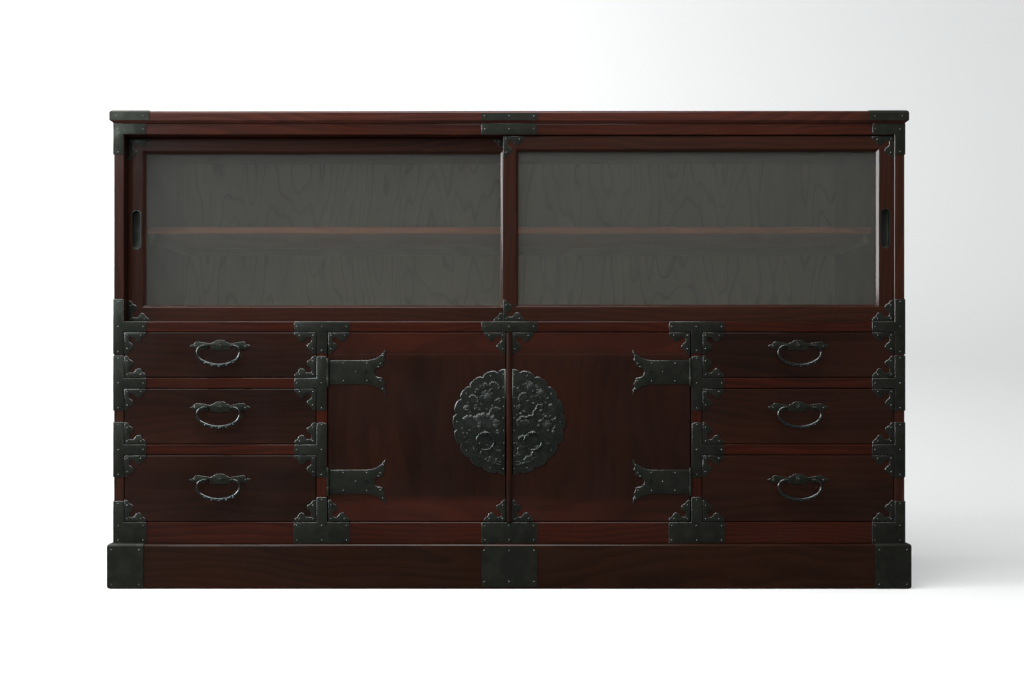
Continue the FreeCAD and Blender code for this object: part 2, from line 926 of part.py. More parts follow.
def fixed_leaf(z):
    """The fixed half of a hinge, let in between the door and the stile. Right door."""
    fixed = [z + height for height in knuckle_spans()[1]]
    x = (door_post - fixed_leaf_thickness, door_post)
    leaf = block(
        x,
        (front + knuckle_end_gap, front + fixed_leaf_depth),
        (z - strap_half_height, z + strap_half_height),
    )
    tab = block(x, (hinge_axis_y, front + knuckle_end_gap), fixed)
    return joined(leaf, tab, knuckle(fixed)).cut(hinge_rod(fixed, hinge_pin_radius + hinge_pin_fit))


def hinge_pin(z):
    """The pin of a hinge. It stands a little out of the barrel at both ends. Right door."""
    reach = strap_half_height + barrel_overrun + pin_overrun
    return hinge_rod((z - reach, z + reach), hinge_pin_radius)


def door_irons(side):
    """The straps and corner plates of one hinged door."""
    straps = [on_side(strap(z), side) for z in hinge_heights()]
    return straps + corner_plates(iron_span(side), (door_bottom, door_top), front)


def scalloped_disc(centre_x):
    """The whole round lock plate, with its rim in equal lobes."""
    step = 2 * math.pi / lock_lobes

    def at(radius, angle):
        return (centre_x + radius * math.sin(angle), lock_centre + radius * math.cos(angle))

    arcs = []
    for lobe in range(lock_lobes):
        middle = lobe * step
        arcs.append((at(lock_radius, middle), at(lock_cusp_radius, middle + step / 2)))
    return plate(outline(at(lock_cusp_radius, -step / 2), *arcs), front, lock_thickness)


def lock_plate(side):
    """Half of the lock plate with its straight edge beside the batten, and the eye of its ring."""
    if side > 0:
        edge = batten_width / 2 + lock_edge_gap
    else:
        edge = -batten_width / 2 - hinged_door_gap - lock_edge_gap
    keep = block(
        (edge, edge + side * lock_radius),
        (front - lock_thickness, front),
        (lock_centre - lock_radius, lock_centre + lock_radius),
    )
    half = scalloped_disc(edge).common(keep).Solids[0]
    return half, ring_eye(side * ring_offset)


def ring_eye(x):
    """The eye that a ring pull hangs in, standing out of the lock plate."""
    bore = ring_wire + ring_eye_gap
    return eye(x, (ring_pivot_y, ring_pivot_z), front - lock_thickness, ring_eye_width, bore, ring_eye_wall)


def ring_pull(x):
    """A ring pull, hanging."""
    middle = Vector(x, ring_pivot_y, ring_centre)
    sections = []
    for index in range(ring_steps):
        angle = 2 * math.pi * index / ring_steps
        outward = Vector(math.sin(angle), 0, math.cos(angle))
        sections.append(ring_of_corners(middle + outward * ring_radius, outward, ring_wire))
    return forged(sections, closed=True)


# Drawers

def drawer_front(x, z):
    """The lacquered front of a drawer, with eased edges."""
    body = block(x, (front, front + drawer_front_thickness), z)
    return body.makeChamfer(eased_edge, edges_in_plane(body, "y", front))


def drawer_box(x, z):
    """Sides, back and bottom of a drawer. The sides stand on the bottom."""
    low_x, high_x = min(x), max(x)
    start = front + drawer_front_thickness
    end = inside_back - drawer_back_gap
    side_z = (z[0] + drawer_bottom_thickness, z[1] - drawer_side_drop)
    left = block((low_x, low_x + drawer_side_thickness), (start, end), side_z)
    right = block((high_x - drawer_side_thickness, high_x), (start, end), side_z)
    rear = block(
        (low_x + drawer_side_thickness, high_x - drawer_side_thickness),
        (end - drawer_back_inset - drawer_side_thickness, end - drawer_back_inset),
        (side_z[0], side_z[1] - drawer_back_inset),
    )
    bottom = block(
        (low_x + drawer_bottom_inset, high_x - drawer_bottom_inset),
        (start, end - drawer_bottom_inset),
        (z[0], z[0] + drawer_bottom_thickness),
    )
    return left, right, rear, bottom


def handle_plate(x, z):
    """The wing-shaped plate behind a drop handle, with the handle's axis at (x, z)."""
    right = plate(
        outline(
            (0, 0),
            (point_half, foot_rise),
            (wing_foot_half, foot_rise),
            (wing_half, wing_rise),
            (((wing_half + nick_half) / 2, (wing_rise + nick_rise) / 2 + arc_bulge), (nick_half, nick_rise)),
            (
                ((nick_half + shoulder_half) / 2, (nick_rise + shoulder_rise) / 2 + arc_bulge),
                (shoulder_half, shoulder_rise),
            ),
            (valley_half, valley_rise),
            (
                ((valley_half + crown_half) / 2, (valley_rise + crown_side_rise) / 2 + arc_bulge),
                (crown_half, crown_side_rise),
            ),
            ((crown_half / 2, crown_rise - arc_bulge / 2), (0, crown_rise)),
        ),
        front,
        handle_plate_thickness,
    )
    whole = joined(right, mirrored(right))
    whole.translate(Vector(x, 0, z - handle_plate_below))
    return whole


def bail_eye_offset():
    """How far each eye stands from the middle of the handle."""
    return bail_half_width - bail_shoulder_radius - bail_side_play - eye_width / 2


def handle_eye(x, z):
    """One of the two eyes that carry a drop handle."""
    pivot = (front - bail_standoff, z)
    bore = bail_pin_radius + bail_pin_fit
    return eye(x, pivot, front - handle_plate_thickness, eye_width, bore, eye_wall)


def bail_line():
    """The middle line of half a drop handle, from its end in the eye to the middle of the grip,
    as points, outward directions and radii of the bar, in the plane of the handle."""
    inner = bail_eye_offset() - eye_width / 2 - bail_pin_end
    outer = bail_eye_offset() + eye_width / 2
    shoulder = (bail_half_width - bail_shoulder_radius, -bail_shoulder_radius)
    up = (0, 1)
    line = [((inner, 0), up, bail_pin_radius), ((outer, 0), up, bail_pin_radius), ((shoulder[0], 0), up, bail_arm_radius)]
    depth = bail_drop - bail_shoulder_radius
    reach = bail_half_width - bail_side_radius
    bottom = (reach**2 + depth**2 - bail_side_radius**2) / (2 * (depth - bail_side_radius))
    meet = math.atan2(bottom - depth, reach)
    arcs = (
        (shoulder, bail_shoulder_radius, math.pi / 2, 0),
        ((reach, -bail_shoulder_radius), bail_side_radius, 0, -meet),
        ((0, bottom - bail_drop), bottom, -meet, -math.pi / 2),
    )
    for centre, radius, start, end in arcs:
        for step in range(1, bail_arc_runs + 1):
            angle = start + (end - start) * step / bail_arc_runs
            outward = (math.cos(angle), math.sin(angle))
            point = (centre[0] + radius * outward[0], centre[1] + radius * outward[1])
            swell = max(0.0, -point[1] - bail_shoulder_radius) / depth
            line.append((point, outward, bail_arm_radius + (bail_grip_radius - bail_arm_radius) * swell))
    return line


def bail(x, z):
    """A drop handle, hanging from the axis at (x, z). Its ends turn in the eyes, and the bar
    swells from the shoulders to the grip."""
    half = bail_line()
    whole = half + [((-u, w), (-out_u, out_w), radius) for (u, w), (out_u, out_w), radius in reversed(half[:-1])]
    sections = []
    for (u, w), (out_u, out_w), radius in whole:
        centre = Vector(x + u, front - bail_standoff, z + w)
        sections.append(ring_of_corners(centre, Vector(out_u, 0, out_w), radius))
    return forged(sections)


def save_drawer(side_name, row_name, floor, opening):
    """Writes the front, box, fittings and drop handle of one drawer."""
    side = sides[side_name]
    x = (side * (bay_inner + drawer_gap), side * (bay_outer - drawer_gap))
    front_z = (floor + drawer_gap, floor + opening - drawer_gap)
    centre_x = sum(x) / 2
    pivot_z = floor + opening / 2 + handle_rise
    name = f"drawer_{side_name}_{row_name}"
    save(f"{name}_front", drawer_front(x, front_z))
    save(f"{name}_box", *drawer_box(x, (floor, floor + opening)))
    eyes = [handle_eye(centre_x + step * bail_eye_offset(), pivot_z) for step in (-1, 1)]
    save(f"{name}_fittings", *corner_plates(x, front_z, front), handle_plate(centre_x, pivot_z), *eyes)
    save(f"{name}_bail", bail(centre_x, pivot_z))


def save_carcass():
    """Writes the fixed parts of the chest."""
    save("plinth", *plinth())
    save("plinth_irons", *plinth_irons())
    save(
        "bottom_board",
        block(
            (-bay_outer, bay_outer),
            (front + bottom_rail_depth, inside_back),
            (bottom_rail_top - deck_thickness, bottom_rail_top),
        ),
    )
    for name, side in sides.items():
        save(f"side_panel_{name}", side_panel(side))
    save("top_board", top_board_body(0))
    save("top_irons", *top_irons())
    save("back_panels", *back_panels())
    tongue_room = head_engagement + lift_gap + shoulder_gap
    save("head_rail", track_rail((head_bottom, head_top), (head_bottom, head_bottom + tongue_room)))
    save("sill_rail", track_rail((sill_bottom, sill_top), (sill_top - sill_groove, sill_top)))
    save("front_rails", *front_rails())
    save("partitions", partition(1), partition(-1))
    save(
        "middle_board",
        block(
            (-bay_outer, bay_outer),
            (front + track_rail_depth, inside_back),
            (sill_top - deck_thickness, sill_top),
        ),
    )
    save("display_shelf", shelf(bay_outer, display_shelf_setback, sill_top + display_shelf_height))
    save("cupboard_shelf", shelf(door_post, cupboard_shelf_setback, bottom_rail_top + cupboard_shelf_height))
    save("shelf_cleats", *shelf_cleats())
    save("drawer_runners", *drawer_runners())
    save("door_stops", *door_stops())
    save("frame_irons", *frame_irons())
    leaves = [fixed_leaf(z) for z in hinge_heights()]
    pins = [hinge_pin(z) for z in hinge_heights()]
    save("hinge_leaves", *leaves, *[mirrored(leaf) for leaf in leaves])
    save("hinge_pins", *pins, *[mirrored(pin) for pin in pins])


def save_glass_doors():
    """Writes the two sliding doors."""
    for name, track in (("left", 1), ("right", 0)):
        side = sides[name]
        y = glass_door_front(track)
        save(f"glass_door_{name}_frame", *[on_side(member, side) for member in glass_door_frame(y)])
        save(f"glass_door_{name}_pane", on_side(glass_door_pane(y), side))
        save(f"glass_door_{name}_irons", *[on_side(piece, side) for piece in glass_door_irons(y)])


def save_cupboard_doors():
    """Writes the two hinged doors with their irons, lock plates and rings."""
    for name, side in sides.items():
        save(f"cupboard_door_{name}", *cupboard_door(side))
        save(f"cupboard_door_{name}_irons", *door_irons(side))
        save(f"lock_plate_{name}", *lock_plate(side))
        save(f"ring_pull_{name}", ring_pull(side * ring_offset))
    save("meeting_batten", meeting_batten())


def main():
    os.makedirs("parts", exist_ok=True)
    save_carcass()
    save_glass_doors()
    save_cupboard_doors()
    for side_name in sides:
        for row_name, floor, opening in drawer_rows():
            save_drawer(side_name, row_name, floor, opening)


main()
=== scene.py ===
"""Looks of a lacquered sideboard with blackened iron fittings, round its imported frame.

Sizes of new pieces are in millimetres of the frame until a piece is finished, and in metres
after that. X runs to the right, Y from the front to the back and Z up.
"""

import json
import logging
import math
import random
from collections.abc import Iterable, Sequence
from dataclasses import dataclass, field
from enum import Enum

import bmesh
import bpy
import numpy as np
from mathutils import Matrix, Vector


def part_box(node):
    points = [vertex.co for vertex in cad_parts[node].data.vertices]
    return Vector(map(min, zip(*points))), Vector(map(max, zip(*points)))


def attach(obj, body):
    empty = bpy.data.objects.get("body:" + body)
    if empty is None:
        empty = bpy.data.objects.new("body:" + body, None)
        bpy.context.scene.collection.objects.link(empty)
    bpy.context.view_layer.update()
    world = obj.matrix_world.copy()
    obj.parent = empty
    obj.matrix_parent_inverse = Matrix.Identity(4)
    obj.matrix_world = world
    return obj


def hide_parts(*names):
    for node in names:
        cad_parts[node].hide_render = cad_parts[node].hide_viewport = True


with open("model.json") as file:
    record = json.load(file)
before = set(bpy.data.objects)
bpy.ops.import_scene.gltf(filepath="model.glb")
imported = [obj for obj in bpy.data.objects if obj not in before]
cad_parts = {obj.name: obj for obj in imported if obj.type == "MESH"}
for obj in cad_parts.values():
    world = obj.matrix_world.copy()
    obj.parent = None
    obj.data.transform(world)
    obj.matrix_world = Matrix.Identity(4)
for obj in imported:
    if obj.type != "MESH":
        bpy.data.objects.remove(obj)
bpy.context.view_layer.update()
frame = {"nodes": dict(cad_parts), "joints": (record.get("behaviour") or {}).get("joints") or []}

MM = 0.001
PHOTO_WIDTH = 1024
PHOTO_HEIGHT = 683
IRON = 1.4
EASED = 0.6
WELD = 0.02
SHARP = 28.0
log = logging.getLogger("sideboard")

Colour = tuple[float, float, float]
Point = tuple[float, float]
Triple = tuple[float, float, float]
Mesh = bmesh.types.BMesh
Corner = bmesh.types.BMVert
Edge = bmesh.types.BMEdge
Face = bmesh.types.BMFace
Field = np.ndarray
Material = bpy.types.Material
Node = bpy.types.Node
Socket = bpy.types.NodeSocket


class Side(Enum):
    """The two halves of the sideboard. The value is the sign of x."""

    LEFT = -1
    RIGHT = 1

    @property
    def word(self) -> str:
        """The side's name as the frame's nodes and bodies spell it."""
        return self.name.lower()


class Row(Enum):
    """The rows of drawers, named as the frame names them."""

    UPPER = "upper"
    MIDDLE = "middle"
    LOWER = "lower"


class Run(Enum):
    """The way the grain of a board runs."""

    ACROSS = "across"
    UPRIGHT = "upright"
    ROUND = "round"


class Skin(Enum):
    """The finishes of one ironwork piece. The value is the material's place on the piece."""

    FACE = 0
    WORN = 1
    NAIL = 2


def srgb(red: int, green: int, blue: int) -> Colour:
    """Turns a colour as it shows on a screen into the linear values that shaders take.

    Args:
        red: Red, 0 to 255.
        green: Green, 0 to 255.
        blue: Blue, 0 to 255.

    Returns:
        The three linear values.
    """
    shares = [value / 255 for value in (red, green, blue)]
    linear = [s / 12.92 if s <= 0.04045 else ((s + 0.055) / 1.055) ** 2.4 for s in shares]
    return linear[0], linear[1], linear[2]


def span(node: str) -> tuple[Vector, Vector]:
    """The lowest and highest corner of a node of the frame, in millimetres."""
    low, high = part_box(node)
    return Vector(low) / MM, Vector(high) / MM


def pivot(joint: str) -> Vector:
    """The place of a hinge of the frame, in millimetres."""
    found = next(entry for entry in frame["joints"] if entry["name"] == joint)
    return Vector(found["pos_m"]) / MM


def front_plane() -> float:
    """The depth of the carcass's front, in millimetres."""
    return span("side_panel_left")[0].y


# Shaders

MIX_SOCKETS = {"RGBA": ((0, 6, 7), 2), "FLOAT": ((0, 2, 3), 0)}


class Shading:
    """Adds and links the nodes of one material or node group."""

    def __init__(self, tree: bpy.types.NodeTree) -> None:
        """Starts with an empty tree."""
        self.tree = tree
        self.tree.nodes.clear()

    def add(self, kind: str, **settings: object) -> Node:
        """Adds a node.

        Args:
            kind: The node's type, without its ShaderNode prefix.
            **settings: Properties of the node.

        Returns:
            The node.
        """
        node = self.tree.nodes.new(f"ShaderNode{kind}")
        for name, value in settings.items():
            setattr(node, name, value)
        return node

    def give(self, socket: Socket, value: object) -> None:
        """Links or sets an input.

        Args:
            socket: The input.
            value: A socket to link from, a colour of three values, or any other value.
        """
        if isinstance(value, Socket):
            self.tree.links.new(value, socket)
        elif socket.type == "RGBA":
            socket.default_value = (*value, 1.0)
        else:
            socket.default_value = value

    def feed(self, node: Node, **inputs: object) -> Node:
        """Links or sets inputs of a node. Underscores in a name stand for spaces.

        Args:
            node: The node.
            **inputs: What each input is given.

        Returns:
            The node.
        """
        for name, value in inputs.items():
            self.give(node.inputs[name.replace("_", " ")], value)
        return node

    def math(self, operation: str, *values: object, clamp: bool = False) -> Socket:
        """Adds a Math node.

        Args:
            operation: What it works out.
            *values: A socket or a number for each input.
            clamp: Whether the result is kept between 0 and 1.

        Returns:
            Its result.
        """
        node = self.add("Math", operation=operation, use_clamp=clamp)
        for socket, value in zip(node.inputs, values):
            self.give(socket, value)
        return node.outputs[0]

    def mix(self, share: object, first: object, second: object, kind: str = "RGBA") -> Socket:
        """Mixes two colours, or two numbers.

        Args:
            share: How much of the second, as a socket or a number.
            first: A socket or a value.
            second: A socket or a value.
            kind: RGBA for colours and FLOAT for numbers.

        Returns:
            The mixture.
        """
        node = self.add("Mix", data_type=kind)
        places, result = MIX_SOCKETS[kind]
        for index, value in zip(places, (share, first, second)):
            self.give(node.inputs[index], value)
        return node.outputs[result]

    def remap(self, value: Socket, low: float, high: float, to_low: float = 0.0,
              to_high: float = 1.0) -> Socket:
        """A value of which the range from low to high is spread over another, and stops there."""
        node = self.feed(self.add("MapRange", clamp=True), Value=value, From_Min=low,
                         From_Max=high, To_Min=to_low, To_Max=to_high)
        return node.outputs["Result"]

    def noise(self, place: Socket, scale: object, detail: float, roughness: float,
              distortion: float = 0.0) -> Socket:
        """Cloudy noise from 0 to 1. Detail says how many finer layers it has."""
        node = self.feed(self.add("TexNoise"), Vector=place, Scale=scale, Detail=detail,
                         Roughness=roughness, Distortion=distortion)
        return node.outputs["Fac"]

    def here(self) -> Socket:
        """The place on the piece, in metres."""
        return self.add("TexCoord").outputs["Object"]

    def split(self, place: Socket) -> bpy.types.NodeOutputs:
        """The X, Y and Z of a place."""
        return self.feed(self.add("SeparateXYZ"), Vector=place).outputs

    def stretch(self, place: Socket, scale: Triple) -> Socket:
        """A place that is scaled along each axis."""
        return self.feed(self.add("Mapping"), Vector=place, Scale=scale).outputs[0]

    def bump(self, height: Socket, strength: float, depth: float) -> Socket:
        """The normal of a surface that is raised by up to a depth in millimetres."""
        node = self.feed(self.add("Bump"), Strength=strength, Distance=depth * MM, Height=height)
        return node.outputs["Normal"]


def new_group(name: str, inputs: dict[str, float | None],
              outputs: Sequence[str]) -> tuple[Shading, Node, Node]:
    """Makes an empty node group with its sockets.

    Args:
        name: The group's name.
        inputs: Each input's default. None makes it a vector.
        outputs: The outputs, which are all numbers.

    Returns:
        The helper that fills it, and its input and output nodes.
    """
    shading = Shading(bpy.data.node_groups.new(name, "ShaderNodeTree"))
    face = shading.tree.interface
    for key, default in inputs.items():
        kind = "NodeSocketVector" if default is None else "NodeSocketFloat"
        socket = face.new_socket(key, in_out="INPUT", socket_type=kind)
        if default is not None:
            socket.default_value = default
    for key in outputs:
        face.new_socket(key, in_out="OUTPUT", socket_type="NodeSocketFloat")
    nodes = shading.tree.nodes
    return shading, nodes.new("NodeGroupInput"), nodes.new("NodeGroupOutput")


def new_material(name: str) -> tuple[Material, Shading, Node]:
    """Makes a material of one plain shader.

    Args:
        name: Its name.

    Returns:
        The material, the helper that fills it and its shader.
    """
    made = bpy.data.materials.new(name)
    made.use_nodes = True
    shading = Shading(made.node_tree)
    gloss = shading.add("BsdfPrincipled")
    shading.feed(shading.add("OutputMaterial"), Surface=gloss.outputs[0])
    return made, shading, gloss


@dataclass
class Effects:
    """The effects that several finishes share, each built once as a node group.

    Pairs of numbers say between which values of its noise or wave an effect sets in.
    """

    bend_scale: Triple = (1.1, 5.0, 5.0)
    drift_scale: Triple = (2.2, 7.0, 7.0)
    pore_scale: Triple = (22.0, 900.0, 900.0)
    sway: float = 14.0
    skew: float = 0.6
    crest: Point = (0.78, 0.86)
    pores: Point = (0.56, 0.72)
    drift: Point = (0.3, 0.7)
    smears: Point = (0.36, 0.7)
    cloud_scale: float = 38.0
    patches: Point = (0.42, 0.66)
    grit: Point = (0.45, 0.75)
    dent_share: float = 0.65
    tooth_share: float = 0.35
    groups: dict[str, bpy.types.NodeTree] = field(default_factory=dict)

    def build(self) -> None:
        """Builds every group."""
        self.groups["grain"] = self.grain()
        self.groups["handling"] = self.handling()
        self.groups["forging"] = self.forging()

    def place(self, shading: Shading, name: str, **inputs: object) -> bpy.types.NodeOutputs:
        """Puts a group into a material with its own values, and gives the group's outputs."""
        return shading.feed(shading.add("Group", node_tree=self.groups[name]), **inputs).outputs

    def grain(self) -> bpy.types.NodeTree:
        """Builds flat-sawn grain that runs along the vector's X.

        Returns:
            A group that gives its broad figure, its fine pores and a slow drift of tone.
        """
        s, entry, leave = new_group("Wood grain", {"Vector": None, "Rings": 60.0, "Wander": 1.0},
                                    ("Figure", "Pores", "Drift"))
        place = entry.outputs["Vector"]
        bend = s.noise(s.stretch(place, self.bend_scale), 1.0, 3.0, 0.5)
        parts = s.split(place)
        level = s.math("ADD", parts["Z"], s.math("MULTIPLY", parts["Y"], self.skew))
        ring = s.math("MULTIPLY", level, entry.outputs["Rings"])
        lean = s.math("MULTIPLY", s.math("SUBTRACT", bend, 0.5), entry.outputs["Wander"])
        saw = s.math("FRACT", s.math("ADD", ring, s.math("MULTIPLY", lean, self.sway)))
        rise = s.remap(saw, 0.0, self.crest[0])
        fall = s.remap(saw, self.crest[1], 1.0, 1.0, 0.0)
        dashes = s.noise(s.stretch(place, self.pore_scale), 1.0, 2.0, 0.6)
        tone = s.noise(s.stretch(place, self.drift_scale), 1.0, 3.0, 0.55)
        s.feed(leave, Figure=s.math("MULTIPLY", rise, fall), Pores=s.remap(dashes, *self.pores),
               Drift=s.remap(tone, *self.drift))
        return s.tree

    def handling(self) -> bpy.types.NodeTree:
        """Builds the faint smears that years of wiping leave on a polished surface.

        Returns:
            A group that gives how smeared a place is.
        """
        s, entry, leave = new_group("Handling marks", {"Vector": None, "Size": 9.0}, ("Smears",))
        broad = s.noise(entry.outputs["Vector"], entry.outputs["Size"], 5.0, 0.62, 0.4)
        s.feed(leave, Smears=s.remap(broad, *self.smears))
        return s.tree

    def forging(self) -> bpy.types.NodeTree:
        """Builds the skin of forged and blackened iron.

        Returns:
            A group that gives the height of its shallow hammer dents and fine tooth, the patches
            where the black has thinned, and the grit.
        """
        s, entry, leave = new_group(
            "Forged skin", {"Vector": None, "Dents": 160.0, "Tooth": 1400.0},
            ("Height", "Patches", "Grit"))
        place = entry.outputs["Vector"]
        dents = s.feed(s.add("TexVoronoi"), Vector=place, Scale=entry.outputs["Dents"])
        tooth = s.noise(place, entry.outputs["Tooth"], 4.0, 0.65)
        cloud = s.noise(place, self.cloud_scale, 6.0, 0.6, 0.3)
        broad = s.math("MULTIPLY", dents.outputs["Distance"], self.dent_share)
        s.feed(leave, Height=s.math("ADD", broad, s.math("MULTIPLY", tooth, self.tooth_share)),
               Patches=s.remap(cloud, *self.patches), Grit=s.remap(tooth, *self.grit))
        return s.tree


effects = Effects()


@dataclass(frozen=True)
class Wood:
    """Zelkova boards under a clear coat: lacquered red-brown, or plain.

    Bands say between which heights, in metres, the grain turns to run across the board, and
    blend says over which height its tone changes. Between the two depths called inside, in
    metres along Y, the wood is darkened towards a near-black tone as painted shade, standing in
    for the shade on the inner faces of gaps and openings. That goes for faces whose distance
    from the middle, along X, is less than within.
    """

    name: str
    dark: Colour = srgb(27, 14, 7)
    light: Colour = srgb(54, 25, 14)
    line: Colour = srgb(14, 6, 5)
    run: Run = Run.ACROSS
    rings: float = 60.0
    wander: float = 1.0
    seed: float = 0.0
    roughness: float = 0.3
    coat: float = 0.65
    figure: float = 0.5
    sharp: float = 1.0
    pore_share: float = 0.5
    pore_depth: float = 0.05
    pore_strength: float = 0.35
    pore_roughness: float = 0.12
    smear_roughness: float = 0.16
    smear_size: float = 9.0
    coat_roughness: float = 0.08
    specular: float = 0.18
    bands: tuple[Point, ...] = ()
    band_dark: Colour | None = None
    band_light: Colour | None = None
    blend: float = 0.0002
    # Painted shade: between the depths called inside the wood darkens towards a near-black tone,
    # standing in for shade in gaps and openings.
    inside: Point | None = None
    inside_blend: float = 0.0006
    inside_share: float = 0.8
    inside_tone: Colour = (0.006, 0.0022, 0.0015)
    within: float = 2.0

    def placed(self, s: Shading, run: Run) -> Socket:
        """The place on a board with X along its grain.

        Args:
            s: The material's helper.
            run: The way the grain runs.

        Returns:
            The vector to feed the grain with.
        """
        place = s.here()
        if run is Run.ROUND:
            parts = s.split(place)
            around = s.math("ADD", parts["X"], parts["Y"])
            place = s.feed(s.add("CombineXYZ"), X=around, Y=0.0, Z=parts["Z"]).outputs[0]
        turn = (0.0, math.pi / 2, 0.0) if run is Run.UPRIGHT else (0.0, 0.0, 0.0)
        shift = (self.seed * 1.7, self.seed * 0.53, self.seed * 0.31)
        return s.feed(s.add("Mapping"), Vector=place, Rotation=turn, Location=shift).outputs[0]

    def band_mask(self, s: Shading) -> Socket:
        """Finds where the grain turns.

        Args:
            s: The material's helper.

        Returns:
            1 there, and 0 elsewhere.
        """
        height = s.split(s.here())["Z"]
        total: object = 0.0
        for low, high in self.bands:
            above = s.remap(height, low - self.blend, low + self.blend)
            below = s.remap(height, high - self.blend, high + self.blend, 1.0, 0.0)
            total = s.math("ADD", total, s.math("MULTIPLY", above, below), clamp=True)
        return total

    def inside_mask(self, s: Shading) -> Socket:
        """Finds how much painted shade darkens the inner faces of gaps and openings.

        Args:
            s: The material's helper.

        Returns:
            The share of painted shade on the faces that lie inside, and 0 elsewhere.
        """
        parts = s.split(s.here())
        near, far = self.inside
        start, end = near - self.inside_blend, near + self.inside_blend
        painted_shade = s.remap(parts["Y"], start, end, 0.0, self.inside_share)
        painted_shade = s.math("MULTIPLY", painted_shade, s.math("LESS_THAN", parts["Y"], far))
        central = s.math("LESS_THAN", s.math("ABSOLUTE", parts["X"]), self.within)
        return s.math("MULTIPLY", painted_shade, central)

    def tone(self, s: Shading, run: Run, dark: Colour, light: Colour) -> tuple[Socket, Socket]:
        """The colour of boards whose grain runs one way.

        Args:
            s: The material's helper.
            run: The way the grain runs.
            dark: The darker tone.
            light: The lighter tone.

        Returns:
            The colour and the pores.
        """
        grain = effects.place(s, "grain", Vector=self.placed(s, run), Rings=self.rings,
                              Wander=self.wander)
        share = s.math("MULTIPLY", s.math("POWER", grain["Figure"], self.sharp), self.figure)
        drift = s.math("MULTIPLY", grain["Drift"], 1.0 - self.figure)
        body = s.mix(s.math("ADD", share, drift), dark, light)
        lined = s.math("MULTIPLY", grain["Pores"], self.pore_share)
        return s.mix(lined, body, self.line), grain["Pores"]

    def material(self) -> Material:
        """Builds the material.

        Returns:
            The finished material.
        """
        made, s, gloss = new_material(self.name)
        colour, pores = self.tone(s, self.run, self.dark, self.light)
        if self.bands:
            other = Run.ACROSS if self.run is Run.UPRIGHT else Run.UPRIGHT
            turned, turned_pores = self.tone(s, other, self.band_dark or self.dark,
                                             self.band_light or self.light)
            mask = self.band_mask(s)
            colour = s.mix(mask, colour, turned)
            pores = s.mix(mask, pores, turned_pores, "FLOAT")
        # Painted shade: the inner faces of gaps and openings are darkened towards a near-black
        # tone.
        if self.inside is not None:
            colour = s.mix(self.inside_mask(s), colour, self.inside_tone)
        marks = effects.place(s, "handling", Vector=s.here(), Size=self.smear_size)
        rough = s.math("MULTIPLY_ADD", marks["Smears"], self.smear_roughness, self.roughness)
        rough = s.math("MULTIPLY_ADD", pores, self.pore_roughness, rough, clamp=True)
        sunk = s.bump(s.math("MULTIPLY", pores, -1.0), self.pore_strength, self.pore_depth)
        s.feed(gloss, Base_Color=colour, Roughness=rough, Normal=sunk, Coat_Weight=self.coat,
               Coat_Roughness=self.coat_roughness, Specular_IOR_Level=self.specular)
        return made


@dataclass(frozen=True)
class Iron:
    """Forged iron, blackened and waxed.

    Crests say between which depths, in metres along Y, a relief goes from black to worn.
    """

    name: str
    black: Colour = srgb(49, 51, 44)
    thin: Colour = srgb(79, 81, 72)
    worn: Colour = srgb(104, 104, 96)
    metal: float = 0.75
    roughness: float = 0.4
    dents: float = 160.0
    depth: float = 0.25
    strength: float = 0.5
    thin_share: float = 0.5
    thin_roughness: float = -0.1
    grit_share: float = 0.35
    grit_roughness: float = 0.15
    crests: Point | None = None
    crest_power: float = 1.6

    def material(self) -> Material:
        """Builds the material.

        Returns:
            The finished material.
        """
        made, s, gloss = new_material(self.name)
        place = s.here()
        skin = effects.place(s, "forging", Vector=place, Dents=self.dents)
        patches, grit = skin["Patches"], skin["Grit"]
        colour = s.mix(s.math("MULTIPLY", patches, self.thin_share), self.black, self.thin)
        colour = s.mix(s.math("MULTIPLY", grit, self.grit_share), colour, self.worn)
        if self.crests:
            foot, crest = self.crests
            height = s.remap(s.split(place)["Y"], crest, foot, 1.0, 0.0)
            colour = s.mix(s.math("POWER", height, self.crest_power), colour, self.worn)
        rough = s.math("MULTIPLY_ADD", patches, self.thin_roughness, self.roughness)
        rough = s.math("MULTIPLY_ADD", grit, self.grit_roughness, rough, clamp=True)
        s.feed(gloss, Base_Color=colour, Roughness=rough, Metallic=self.metal,
               Normal=s.bump(skin["Height"], self.strength, self.depth))
        return made


@dataclass(frozen=True)
class Glass:
    """Thin window glass with a trace of dust."""

    name: str
    tint: Colour = (0.94, 0.93, 0.85)
    clear: float = 0.947
    bend: float = 1.45
    dust_size: float = 5.0
    dust_roughness: float = 0.03

    def material(self) -> Material:
        """Builds the material.

        Returns:
            The finished material.
        """
        made, s, gloss = new_material(self.name)
        marks = effects.place(s, "handling", Vector=s.here(), Size=self.dust_size)
        s.feed(gloss, Roughness=s.remap(marks["Smears"], 0.0, 1.0, 0.0, self.dust_roughness),
               IOR=self.bend, Transmission_Weight=self.clear, Base_Color=self.tint, Metallic=0.0)
        return made


